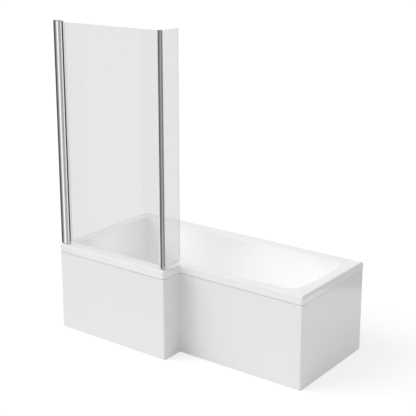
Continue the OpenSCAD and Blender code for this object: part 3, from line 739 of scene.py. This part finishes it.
def bend_sheet(face_line, back_line, sprayed=0):
    """A sheet with a line for its face and one for its back. sprayed=1 sprays its far edge too."""
    form = Form()
    rings = []
    for (d, z), (e, w) in sheet_section():
        rings.append(form.ring([(*p, z) for p in face_line(d)] + [(*p, w) for p in back_line(e)]))
    half = len(rings[0]) // 2
    form.skin(rings, [0] * (half - sprayed) + [1] * (half + sprayed))
    form.fill(rings[0])
    form.fill(rings[-1])
    return form


print("sheet section:", len(sheet_section()), "pairs of points")


# %% The front panel
JOINT = STEP_Y + 16


def front_line(d, end=None):
    """The panel's line at a distance from the rim's edge, to x at the far end or round the corner."""
    y, x, step = FRONT + d, STEP_X - d, STEP_Y + d
    line = [(LEFT + PANEL_SET, y)] + corner((LEFT, y), (x, y), (x, step), bend(d))
    line += corner((x, y), (x, step), (RIGHT, step), d + 0.5)
    if end:
        return line + [(end, step)]
    line += corner((STEP_X, step), (RIGHT - d, step), (RIGHT - d, BACK), bend(d))
    return line + [(RIGHT - d, JOINT - 0.3)]


def bend_front_panel():
    form = bend_sheet(front_line, lambda d: front_line(d)[::-1])
    apart, top = 0.05, PANEL_TOP - PANEL_T
    edge, inner = PANEL_SET + TURNED, PANEL_SET + PANEL_T
    end = RIGHT - edge - 0.3
    form.draw(front_line(inner + apart, end) + front_line(edge, end)[::-1], top, PANEL_TOP, tones=1)
    back, under = PANEL_FACE + PANEL_T + apart, SHOULDER - PANEL_T - apart
    side = [(back, 0), (edge, 0), (edge, top - apart), (inner + apart, top - apart),
            (inner + apart, under), (back, under)]
    return form.draw(side, LEFT + PANEL_SET, LEFT + inner, tones=1,
                     place=lambda u, v, w: (w, FRONT + u, v))


make("front_panel", "fine", bend_front_panel(), [white_sheet, glass_fibre_backing], bevel=0.5)


# %% The end panel
def fold_end_panel():
    turned = RIGHT - PANEL_SET - TURNED

    def face(d):
        return outline([(turned, JOINT), (RIGHT - d, JOINT, 2), (RIGHT - d, BACK - d, bend(d)),
                        (turned, BACK - d)], lead=0.5)

    def back(d):
        return outline([(turned, BACK - d), (RIGHT - d, BACK - d, bend(d)),
                        (RIGHT - d, JOINT + PANEL_T, 1), (turned, JOINT + PANEL_T)], lead=0.5)

    apart = PANEL_T + 0.05
    top_fold = box(turned, JOINT + apart, RIGHT - PANEL_SET - apart, BACK - PANEL_SET - apart)
    return bend_sheet(face, back, 1).draw(top_fold, PANEL_TOP - PANEL_T, PANEL_TOP, tones=1)


make("end_panel", "fine", fold_end_panel(), [white_sheet, glass_fibre_backing], bevel=0.5)

# %% [markdown]
# ## Battens and board
#
# Each batten is a drawn rectangle, and while its points are made, the lengthwise coordinate that the
# wood reads is noted.


# %% Saw the battens
def saw(low, high, *plans):
    """Battens between two heights, each on a plan (x0, y0, x1, y1), with the grain lengthwise."""
    form = Form()
    for x0, y0, x1, y1 in plans:
        size = [x1 - x0, y1 - y0, high - low]
        long_way = size.index(max(size))
        start = len(form.points)
        shift = 37 * start
        form.draw(box(x0, y0, x1, y1), low, high)
        for point in form.points[start:]:
            along, across, up = point[long_way:] + point[:long_way]
            form.grain.append([along + shift, across + shift, up])
    return form


a, b, c = 14, 38, 38.3
rim_battens = saw(
    PANEL_TOP, RIM - SHELL,
    (LEFT + a, BACK - b, RIGHT - a, BACK - a), (LEFT + a, FRONT + c, LEFT + b, BACK - c),
    (LEFT + a, FRONT + a, STEP_X - a, FRONT + b), (STEP_X - b, FRONT + c, STEP_X - a, STEP_Y + a - 0.3),
    (STEP_X - a, STEP_Y + a, RIGHT - c, STEP_Y + b), (RIGHT - b, STEP_Y + a, RIGHT - a, BACK - c))
make("rim_battens", "sawn", rim_battens, [sawn_softwood], bevel=0.8)

a, b = PANEL_FACE + PANEL_T, 37
floor_battens = saw(
    0, 38, (LEFT + 12, FRONT + a, STEP_X - a - 6, FRONT + b),
    (STEP_X - b, FRONT + b + 0.3, STEP_X - a, STEP_Y + b),
    (STEP_X - a + 0.3, STEP_Y + a, RIGHT - b - 0.3, STEP_Y + b),
    (RIGHT - b, JOINT + PANEL_T, RIGHT - a, BACK - 17))
make("floor_battens", "sawn", floor_battens, [sawn_softwood], bevel=1.2)

# %% Cut the board
BOARD = [(-542, -253), (-151, -253), (-151, -109), (364, -109), (364, 231), (-542, 231)]
BOARD_LOW, BOARD_R = 140, 15
board = Form().draw(outline([(x, y, BOARD_R) for x, y in BOARD]), BOARD_LOW, FLOOR - SHELL)
make("base_board", "cut", board, [chipboard], bevel=0.6)

# %% [markdown]
# ## Geometry Nodes for what repeats
#
# The first tree draws a flat section upwards, as a die does. The second winds a wire into a helix,
# which gives the spring, and with a three-cornered wire a screw thread. The third sets out copies of a
# part on points, as a fitter sets out feet and screws. All end in real faces with a material, because
# instances wouldn't survive the export.


# %% A tree with named inputs
def recipe(name, build, **inputs):
    """A Geometry Nodes tree. inputs gives each input's name the type of its socket."""
    tree = bpy.data.node_groups.new(name, "GeometryNodeTree")
    for way in ("INPUT", "OUTPUT"):
        tree.interface.new_socket("Geometry", in_out=way, socket_type="NodeSocketGeometry")
    for label, kind in {**inputs, "Finish": "Material"}.items():
        tree.interface.new_socket(label, in_out="INPUT", socket_type="NodeSocket" + kind)
    graph = Graph(tree)
    start = graph.node("NodeGroupInput", output="Geometry")
    real = graph.node("GeometryNodeRealizeInstances", {"Geometry": build(graph, start)})
    sockets = {"Geometry": real, "Material": start.also("Finish")}
    graph.node("NodeGroupOutput", {"Geometry": graph.node("GeometryNodeSetMaterial", sockets)})
    return tree


def bake(piece):
    """What the piece's modifiers make becomes its own mesh."""
    depsgraph = bpy.context.evaluated_depsgraph_get()
    result = bpy.data.meshes.new_from_object(piece.evaluated_get(depsgraph))
    piece.modifiers.clear()
    piece.data = result
    return piece


def cook(name, base, tree, **values):
    """Runs a tree on a base mesh, with a value for each of its inputs."""
    piece = put(name, base)
    step = piece.modifiers.new("recipe", "NODES")
    step.node_group = tree
    ids = {s.name: s.identifier for s in tree.interface.items_tree if s.in_out == "INPUT"}
    for label, value in values.items():
        step[ids[label]] = value
    bake(piece)
    print(name, len(piece.data.polygons), "faces")
    return piece


# %% Draw a section upwards
def build_drawn(g, section):
    up = g.node("ShaderNodeCombineXYZ", {"Z": section.also("Height")})
    sockets = {"Mesh": section, "Offset": up, "Offset Scale": 1.0, "Individual": False}
    drawn = g.node("GeometryNodeExtrudeMesh", sockets, mode="FACES")
    foot = g.node("GeometryNodeFlipFaces", {"Mesh": section})
    both = g.node("GeometryNodeJoinGeometry", {"Geometry": (drawn, foot)})
    return g.node("GeometryNodeMergeByDistance", {"Geometry": both, "Distance": 1e-6})


drawn_bar = recipe("drawn bar", build_drawn, Height="Float")


def draw_up(node, kind, section, low, high, look, body, bevel, holes=(), crease=30):
    """A bar with that section, upright between two heights. Flats that meet at a crease stay flat."""
    name = f"{node}_{kind}"
    form = Form()
    form.fill(*[form.level(loop, low) for loop in (section, *holes)])
    flat = mesh_of(name, form, [look])
    if flat.polygons[0].normal.z < 0:
        flat.flip_normals()
    bar = cook(name, flat, drawn_bar, Height=(high - low) * MM, Finish=look)
    bar.data.shade_smooth()
    finish_edges(bar, 0, crease)
    return fit(finish_edges(bar, bevel), body, node)


# %% Wind a wire
def build_wound(g, start):
    radius, turns = start.also("Radius"), start.also("Turns")
    path = g.node("GeometryNodeCurveSpiral", {
        "Resolution": start.also("Steps"), "Rotations": turns, "Start Radius": radius,
        "End Radius": radius, "Height": start.also("Pitch") * turns})
    level = g.node("GeometryNodeSetCurveNormal", {"Curve": path}, mode="Z_UP")
    sockets = {"Resolution": start.also("Sides"), "Radius": start.also("Wire")}
    wire = g.node("GeometryNodeCurvePrimitiveCircle", sockets)
    sockets = {"Curve": level, "Profile Curve": wire, "Fill Caps": True}
    wound = g.node("GeometryNodeCurveToMesh", sockets)
    return g.node("GeometryNodeTransform", {"Geometry": wound, "Translation": start.also("Foot")})


wound_wire = recipe("wound wire", build_wound, Radius="Float", Wire="Float", Pitch="Float",
                    Turns="Float", Sides="Int", Steps="Int", Foot="Vector")


def wind(name, foot, radius, wire, pitch, length, look, sides=3, steps=16):
    """A helix of wire, upwards from its foot. With three sides it is a screw thread."""
    return cook(name, bpy.data.meshes.new(name), wound_wire, Radius=radius * MM, Wire=wire * MM,
                Pitch=pitch * MM, Turns=length / pitch, Sides=sides, Steps=steps,
                Foot=[v * MM for v in foot], Finish=look)


# %% Set out copies of a part
def build_set_out(g, points):
    sockets = {"Object": points.also("Part")}
    part = g.node("GeometryNodeObjectInfo", sockets, "Geometry", transform_space="ORIGINAL")
    aim = g.node("GeometryNodeInputNamedAttribute", {"Name": "aim"}, data_type="FLOAT_VECTOR")
    turned = g.node("FunctionNodeAlignRotationToVector", {"Vector": aim}, axis="Z")
    sockets = {"Points": points, "Instance": part, "Rotation": turned}
    return g.node("GeometryNodeInstanceOnPoints", sockets)


set_out = recipe("set out", build_set_out, Part="Object")


def repeat(node, kind, part, points, look, aim=(0, 0, 1), replaces=True):
    """Copies of a part on points of the bath, all aimed one way."""
    name = f"{node}_{kind}"
    base = bpy.data.meshes.new(name)
    base.from_pydata([Vector(p) * MM for p in points], [], [])
    aims = base.attributes.new("aim", "FLOAT_VECTOR", "POINT")
    aims.data.foreach_set("vector", aim * len(points))
    copies = cook(name, base, set_out, Part=part, Finish=look)
    bpy.data.objects.remove(part)
    return fit(copies, node=node if replaces else None)


def pattern_part(form, bevel=0.0, limit=40):
    """One part at the origin, to be repeated. Its bevel is real before it is copied."""
    return bake(finish_edges(put("part", mesh_of("part", form, [])), bevel, limit))


# %% [markdown]
# ## The legs
#
# Each leg is a folded steel channel, screwed up into the board. A threaded stud goes through each end
# of it, locked by nuts, and stands in a moulded pad. One stud, nut, pad and screw is modelled and then
# set out.


# %% The rails
RAILS = {"leg_rail_left": (-480, FRONT), "leg_rail_middle": (-110, FRONT),
         "leg_rail_right": (320, STEP_Y)}
FOLDED = [(-20, 115), (-20, 140, 4), (20, 140, 4), (20, 115), (18, 115), (18, 138, 2), (-18, 138, 2),
          (-18, 115)]
for name, (x, front) in RAILS.items():
    rail = Form().draw(outline([(x + u, *rest) for u, *rest in FOLDED], steps=6, lead=0.5),
                       front + 48, BACK - 48, place=lambda u, v, w: (u, w, v))
    make(name, "folded", rail, [galvanised_steel], bevel=0.3)


# %% Pads, nuts and studs
def on_feet(*heights):
    return [(x, y, z) for x, front in RAILS.values() for y in (front + 74, BACK - 74) for z in heights]


STUD_HOLE_R = 5.05
pad = Form().turn([(0, 0), (23, 0, 1.2), (23, 5.3, 1.2), (18, 6.6, 0.8), (17, 9, 0.8),
                   (13, 10.4, 0.8), (12.4, 13, 0.8), (10, 16, 1), (STUD_HOLE_R, 16, 0.4),
                   (STUD_HOLE_R, 6), (0, 6)], steps=48)
nut = Form().draw(circle(9.8, steps=6), 0, 8, holes=[circle(STUD_HOLE_R, steps=24)])
stud = Form().turn([(0, 6), (3.8, 6), (4.4, 6.8), (4.4, 150.2), (3.8, 151), (0, 151)], steps=24)
repeat("foot_pads", "moulded", pattern_part(pad, limit=30), on_feet(0), moulded_foot)
repeat("lock_nuts", "chamfered", pattern_part(nut, 0.9, 70), on_feet(16, 130, 140), galvanised_steel)
repeat("foot_studs", "core", pattern_part(stud, limit=30), on_feet(0), stainless_steel)
thread = wind("part", (0, 0, 7), 4.35, 0.62, 1.5, 142.5, stainless_steel)
repeat("foot_studs", "thread", thread, on_feet(0), stainless_steel, replaces=False)

# %% [markdown]
# ## Screws with a cross recess
#
# A screw head is a shallow turned dome. Its flat top is filled between a circle and the outline of a
# cross, whose walls go down to a smaller floor.


# %% One screw, head up
def cross(arm, half):
    """The outline of a cross: one arm's three corners, and then three quarter turns of them."""
    corners = [(half, half), (half, arm), (-half, arm)]
    for turn in range(3):
        corners += [(-y, x) for x, y in corners[-3:]]
    return corners


def cross_screw(head_r, head_h, shank_r, length):
    """Origin under the head, which rises to head_h. The shank goes down."""
    form = Form()
    section = [(shank_r * 0.3, -length), (shank_r, -length + 1.5), (shank_r, 0), (head_r, 0)]
    section += [(head_r * cos(a), head_h * (0.25 + 0.75 * sin(a)))
                for a in map(radians, (0, 15, 30, 45, 58))]
    top = section[-1][1]
    rings = [form.level(circle(r, steps=32), z) for r, z in section]
    mouth = form.level(cross(head_r * 0.42, head_r * 0.11), top)
    floor = form.level(cross(head_r * 0.26, head_r * 0.07), top - head_h * 0.55)
    form.skin(rings)
    form.fill(rings[0])
    form.fill(rings[-1], mouth)
    form.skin([mouth, floor])
    form.fill(floor)
    return pattern_part(form, limit=30)


# %% The rails' screws point up, the wall profile's sideways
under_rails = [(x, y, 138) for x, front in RAILS.values() for y in (-69, 191)]
repeat("rail_screws", "driven", cross_screw(4.2, 3, 2.2, 13), under_rails, stainless_steel,
       aim=(0, 0, -1))
up_the_wall = [(LEFT + 22, GLASS_Y + 14, z) for z in (684, 1260, 1836)]
repeat("adjuster_screws", "driven", cross_screw(3.2, 1.8, 1.6, 6.2), up_the_wall, stainless_steel,
       aim=(0, 1, 0))

# %% [markdown]
# ## The waste and its plug
#
# A chromed flange is clamped to the floor between rubber washers, and its threaded tail takes a nut.
# The plug is a domed cap on a stem that a spring pushes up. All of these are lathe work.

# %% Turn the waste
waste = Form().turn([(20, 91.5, 0.4), (23.2, 91.5, 0.5), (23.2, 137), (22.6, 137.4), (22.6, 139.6),
                     (23.2, 140), (23.2, 161.5), (35, 161.5, 0.3), (35, 164.5, 1.6), (23, 164.5, 1.2),
                     (20, 161.2, 0.8)], 6, WASTE, 96)
make("waste_body", "turned", waste, [polished_chrome])
fit(wind("waste_thread", (*WASTE, 92.6), 23.15, 0.72, 2.0, 43, polished_chrome, steps=64))

washers = Form()
for low, high, outer_r in ((160, 161.5, 32), (152, 155, 33)):
    washers.turn([(24.2, low, 0.3), (outer_r, low, 0.6), (outer_r, high, 0.6), (24.2, high, 0.3)],
                 centre=WASTE)
make("waste_washers", "turned", washers, [black_rubber])

big_nut = Form().draw(circle(33, WASTE, 6), 140, 152, holes=[circle(23.95, WASTE)])
make("waste_nut", "chamfered", big_nut, [galvanised_steel], bevel=1.2, limit=70)

# %% Turn the plug and wind its spring
plug = Form().turn([(0, 141), (3.4, 141, 0.4), (3.4, 153.7), (5.6, 153.7, 0.4), (5.6, 156.7, 0.4),
                    (4, 156.7), (4, 174.6), (29, 174.6, 0.5), (30, 176, 0.6), (29.4, 178, 1.2),
                    (26, 179.3, 3), (15, 180.3, 20), (0, 180.6)], 5, WASTE, 96)
make("plug_cap", "turned", plug, [polished_chrome], "plug")
seal = Form().turn([(24, 172.6, 0.3), (28, 172.6, 0.9), (28, 174.6, 0.3), (24, 174.6, 0.3)],
                   centre=WASTE)
make("plug_seal", "turned", seal, [black_rubber], "plug")

FREE, TRAVEL, PITCH = 23.7, 8, 3.74
spring = wind("plug_spring_wound", (*WASTE, 130.62), 4.9, 0.6, PITCH, 6 * PITCH, stainless_steel, 8, 32)
spring.data.shade_smooth()
fit(spring, "bath", "plug_spring")
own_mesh(spring)
print("spring:", FREE, "mm long, and", FREE - TRAVEL, "mm when the plug is down")

# %% [markdown]
# ## The wall profile and the hinge
#
# The screen hangs from an aluminium channel with bowed sides. Its section is an outline with two
# rounded ridges, cut open at the mouth. The barrel that turns in it, with the clamp that holds the
# glass, and the corner post with its two slots are drawn in the same way.


# %% Sections of the hinge side
def channel(inset, start):
    """Half of the channel's outline, from the wall to the mouth, on the side of positive v."""
    side, end, mid = FLANK - inset, PROFILE_LEN - inset, PROFILE_LEN / 2
    ridge = side + PROFILE_RISE
    points = [(start, side)]
    points += corner((start, side), (mid, ridge), (end, side), RIDGE_R - inset, 24, 0.3)
    return points + corner((mid, ridge), (end, side), (end, -side), 6 - inset, 12, 0)


def cut_at(points, v):
    """The line up to where it comes down to v."""
    for i in range(1, len(points)):
        (u0, v0), (u1, v1) = points[i - 1], points[i]
        if v1 < v <= v0:
            return points[:i] + [(u0 + (u1 - u0) * (v0 - v) / (v0 - v1), v)]
    return points


def other_side(points):
    return [(u, -v) for u, v in points]


def moved(points, x):
    """A section of the screen, moved to its place on the wall, the hinge or the post."""
    return [(x + u, GLASS_Y + v) for u, v in points]


MOUTH = 8.3
outer, inner = cut_at(channel(0, 0), MOUTH), cut_at(channel(2, 2.5), MOUTH)
channel_section = outer[::-1] + other_side(outer) + other_side(inner)[::-1] + inner
draw_up("wall_profile", "drawn", moved(channel_section, LEFT), RIM + CAP_T, SCREEN_TOP - CAP_T,
        polished_profile, "bath", 0.25)

# %% The caps and the barrel
hinge = (HINGE_X, GLASS_Y)
cover = cut_at(channel(0, 0), 9)
nose = circle(9, (HINGE_X - LEFT, 0), 24, pi / 2, -pi)
cap_section = moved(cover + nose + other_side(cover)[::-1], LEFT)
for name, low in (("profile_top_cap", SCREEN_TOP - CAP_T), ("profile_bottom_cap", RIM)):
    draw_up(name, "moulded", cap_section, low, low + CAP_T, silvered_cap, "bath", 0.7,
            [circle(4.05, hinge, 32)])

gap = asin(7 / BARREL_R)
barrel = circle(BARREL_R, (0, 0), 48, gap, 2 * pi - 2 * gap)
jaw = [(9.4, -6.6), (CLAMP_LEN, -5.1), (CLAMP_LEN, -3.2), (9, -3.2)]
draw_up("pivot_profile", "drawn", moved(barrel + jaw + other_side(jaw)[::-1], HINGE_X), RIM + 6,
        SCREEN_TOP - 6, polished_profile, "screen", 0.4, [circle(6.05, hinge, 60)], crease=7)

# %% The corner post and its caps
p, SLOT, SLOT_END = POST_HALF, 3.2, 4
post_line = outline([(-p, -p, 2), (p, -p, 3.5), (p, p, 2), (-p, p, 1)], 8, 0.3)


def slotted(line):
    """The post's line with a slot for each glass."""
    at_back = [(SLOT, p), (SLOT, SLOT_END), (-SLOT, SLOT_END), (-SLOT, p)]
    at_left = [(-v, u) for u, v in at_back]
    back = max(i for i, (u, v) in enumerate(line) if v > p - 0.01 and u > 0) + 1
    return line[:back] + at_back + line[back:] + at_left


draw_up("corner_post", "drawn", moved(slotted(post_line), POST_X), 562.9, GLASS_TOP, polished_post,
        "screen", 0.25)
for name, low, look, slot in (("post_top_cap", GLASS_TOP, silvered_cap, "cap"),
                              ("post_bottom_cap", RIM + 0.5, dark_cap, "dark_cap")):
    draw_up(name, "moulded", moved(post_line, POST_X), low, low + 2.4, look, "screen", 0.6)

# %% [markdown]
# ## Glass and seals
#
# Each pane is a plain sheet with its edges just ground off. Its faces take one finish and its cut edges
# the other. The clear strips on it have three low ribs, and the strip under the glass has two fins that
# wipe the rim.

# %% The two panes
front_pane = box(HINGE_X + 9.3, GLASS_Y - GLASS_HALF, POST_X - 4.5, GLASS_Y + GLASS_HALF)
return_pane = box(POST_X - GLASS_HALF, GLASS_Y + 4.5, POST_X + GLASS_HALF, RETURN_END)
clear = []
for name, pane, look, tones in (("front_glass", front_pane, safety_glass, [0, 1, 0, 1]),
                                ("return_glass", return_pane, short_glass_painted_paler, [1, 0, 1, 0])):
    form = Form().draw(pane, GLASS_Z, GLASS_TOP, tones=tones, caps=1)
    clear.append(make(name, "ground", form, [look, glass_edge], "screen", 0.5))


# %% Clear strips on both faces of the glass
SEAL_FOOT, LIP = 580.3, 3.6


def ribbed_strip(width):
    """Section of a strip: flat on the glass at v = 0, with three ribs and thin edges."""
    top = [(0.2, 0.7), (1.2, 1.1)]
    for middle in (0.25, 0.5, 0.75):
        x = width * middle
        top += [(x - 0.9, 1.1), (x - 0.4, 1.48), (x + 0.4, 1.48), (x + 0.9, 1.1)]
    return [(width, 0), (width - 0.2, 0.7), (width - 1.2, 1.1), *top[::-1], (0, 0)]


def strips_along(form, start, width, across_x, lip=0.0):
    """A strip on each face of the glass. With a lip, a dark gasket takes its first millimetres."""
    pieces = [(lip, ribbed_strip(width - lip), 0)]
    if lip:
        gasket = [(lip - 0.05, 0), (lip - 0.05, 1.1), (lip - 0.6, 1.45), (0.5, 1.45), (0, 1.1), (0, 0)]
        pieces.append((0, gasket, 1))
    for side in (-1, 1):
        for shift, section, tone in pieces:
            line = [(start + shift + u, side * (GLASS_HALF + v)) for u, v in section]
            line = [(u, GLASS_Y + v) if across_x else (POST_X + v, u) for u, v in line]
            form.draw(line, SEAL_FOOT, GLASS_TOP, tones=tone)
    return form


hinge_strips = strips_along(Form(), HINGE_X + CLAMP_LEN, 12, True, LIP)
post_strips = strips_along(strips_along(Form(), POST_X - 24, 14, True), GLASS_Y + 10, 8, False)
for name, strips, looks in (("hinge_seal", hinge_strips, [clear_vinyl, dark_cap]),
                            ("post_seals", post_strips, [clear_vinyl])):
    clear.append(make(name, "ribbed", strips, looks, "screen", limit=25))

# %% The wiping strips under the glass
SWEEP = outline([(-4.5, 560.5, 0.4), (-3.2, 560.5, 0.4), (-3.2, 567, 0.5), (3.2, 567, 0.5),
                 (3.2, 560.5, 0.4), (4.5, 560.5, 0.4), (4.5, 580, 0.8), (3, 580, 0.4), (3, 570),
                 (-3, 570), (-3, 580, 0.4), (-4.5, 580, 0.8)], 4, 0)
for name, start, end, place in (
        ("front_sweep", HINGE_X + 17, POST_X - 11, lambda u, v, w: (w, GLASS_Y + u, v)),
        ("return_sweep", GLASS_Y + 11, RETURN_END, lambda u, v, w: (POST_X + u, w, v))):
    strip = Form().draw(SWEEP, start, end, place=place)
    clear.append(make(name, "finned", strip, [sweep_vinyl], "screen"))
for piece in clear:
    piece.visible_shadow = piece.visible_diffuse = False

# %% [markdown]
# ## Pieces that keep their CAD shape
#
# The bushes, the pins, the adjuster, the brackets, the sleeve and its spider are already the right
# shape, so they only get their finish.

# %% Finishes for the CAD pieces
KEPT = {"adjuster_profile": polished_profile, "pivot_pins": stainless_steel,
        "pivot_bushes": ivory_nylon, "wall_brackets": galvanised_steel,
        "waste_spider": polished_chrome, "plug_cage": turned_brass}
for name, look in KEPT.items():
    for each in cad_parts[name].material_slots:
        each.material = look
print("kept as they are:", ", ".join(KEPT))

# %% [markdown]
# ## The studio
#
# For the lens, for mirrors and for what is seen through glass the world is pure white and the floor
# glows, while the light on the bath is weaker, so white acrylic keeps its greys. One broad, soft lamp
# comes from the front left and above, which leaves the end panel and the step darker than the front.
# Three small flat lamps in and over the basin stand for the light that bounces about in it.


# %% The world and the lamps
def light_world(level):
    world = bpy.data.worlds.new("studio")
    scene.world = world
    g = bare(world)
    strength = level + (1 - level) * g.straight_look()
    sky = g.node("ShaderNodeBackground", {"Color": (1, 1, 1, 1), "Strength": strength})
    g.node("ShaderNodeOutputWorld", {"Surface": sky})


def hang_lamp(name, kind, toward, energy, hidden, centre=(0, 0, 0), **shape):
    """A lamp that shines toward a direction, hidden from some kinds of ray."""
    data = bpy.data.lights.new(name, kind)
    data.energy = energy
    for label, value in shape.items():
        setattr(data, label, value)
    lamp = put(name, data)
    lamp.location = centre
    lamp.rotation_euler = Vector(toward).to_track_quat("-Z", "Y").to_euler()
    hide(lamp, hidden)


def hide(thing, rays):
    for ray in rays:
        setattr(thing, "visible_" + ray, False)


light_world(0.57)
hang_lamp("soft_lamp", "SUN", (0.62, 0.44, -0.64), 1.4, ["glossy"], angle=radians(50))
for centre, toward, energy, long, wide in (
        ((0.36, 0.05, 0.63), (0, 0, -1), 0.37, 0.6, 0.22),
        ((-0.52, -0.06, 0.63), (0, 0, -1), 0.15, 0.45, 0.4),
        ((-0.42, -0.13, 0.48), (-1, 0.6, -0.2), 0.36, 0.2, 0.12)):
    hang_lamp("basin_lamp", "AREA", toward, energy, ["camera", "glossy", "transmission"], centre,
              shape="RECTANGLE", size=long, size_y=wide)


# %% The floor
def set_up(name, points, faces, look):
    """A sheet of the studio, which is no part of the bath."""
    mesh = bpy.data.meshes.new(name)
    mesh.from_pydata(points, [], faces)
    mesh.materials.append(look)
    thing = put(name, mesh)
    return thing


def paper(g):
    looked_at = g.straight_look()
    tone = looked_at * (0.97 + g.noise(4, 3) * 0.03)
    colour = g.blend(tone, (0.89, 0.89, 0.89), (0.45, 0.45, 0.45))
    matt = g.node("ShaderNodeBsdfDiffuse", {"Color": colour})
    return g.node("ShaderNodeAddShader", {"Shader": matt, "Shader_001": g.glow(0.64 * looked_at)})


corners = [(x, y, 0) for x, y in box(-60, -60, 60, 60)]
set_up("floor", corners, [(0, 1, 2, 3)], new_look("white_floor", paper))

# %% [markdown]
# ## Cards for the metal to mirror
#
# Polished metal is only as good as what it mirrors, so grey cards stand out of sight and are seen by
# reflections alone. A ring of them stands round the hinge, each between two angles in degrees from the
# front: pale and dark side by side give the streaks of a polished profile. The white rim would show in
# the post, so three narrow strips stand close to it, and they show their front side only.


# %% A card is a sheet that stands on a line of points
def card_look(g, grey, one_sided):
    shine = g.glow(grey)
    if not one_sided:
        return shine
    behind = g.node("ShaderNodeNewGeometry", output="Backfacing")
    clear = g.node("ShaderNodeBsdfTransparent")
    return g.node("ShaderNodeMixShader", {"Fac": behind, "Shader": shine, "Shader_001": clear})


def add_card(name, line, low, high, grey, one_sided=False):
    points = [(x, y, z) for z in (low, high) for x, y in line]
    n = len(line)
    faces = [(i, i + 1, n + i + 1, n + i) for i in range(n - 1)]
    card = set_up(name, points, faces, new_look(name, card_look, grey, one_sided))
    hide(card, ["camera", "diffuse", "transmission", "volume_scatter", "shadow"])


# %% Stand the cards
# From and to in degrees, and how bright.
CARDS = [(-112, -57.5, 0.07), (-57.5, -47, 0.24), (-47, -38, 0.43), (-21, -16.5, 0.02),
         (-16.5, -12.5, 0.24), (-4, 30, 0.4), (30, 78, 0.5)]
AROUND, RADIUS = (-0.83, -0.39), 1.45
for number, (start, end, grey) in enumerate(CARDS):
    steps = max(1, round((end - start) / 8))
    angles = [radians(start + (end - start) * i / steps) for i in range(steps + 1)]
    line = [(AROUND[0] + RADIUS * sin(a), AROUND[1] - RADIUS * cos(a)) for a in angles]
    add_card(f"card_{number}", line, 0, 3, grey)
add_card("card_behind", [(1.5, 0.5), (0.6, 1.25)], 0.2, 3, 0.25)
for side, line, grey in (("left", [(-0.061, -0.431), (-0.088, -0.431)], 0.08),
                         ("front", [(-0.042, -0.431), (-0.061, -0.431)], 0.24),
                         ("right", [(0.015, -0.17), (0.015, -0.375)], 0.25)):
    add_card(f"card_post_{side}", line, 0.55, 1.96, grey, one_sided=True)
add_card("card_right", [(2.3, -2.6), (2.3, 0.8)], 0, 3, 0.4)
print("cards:", len(CARDS) + 5)
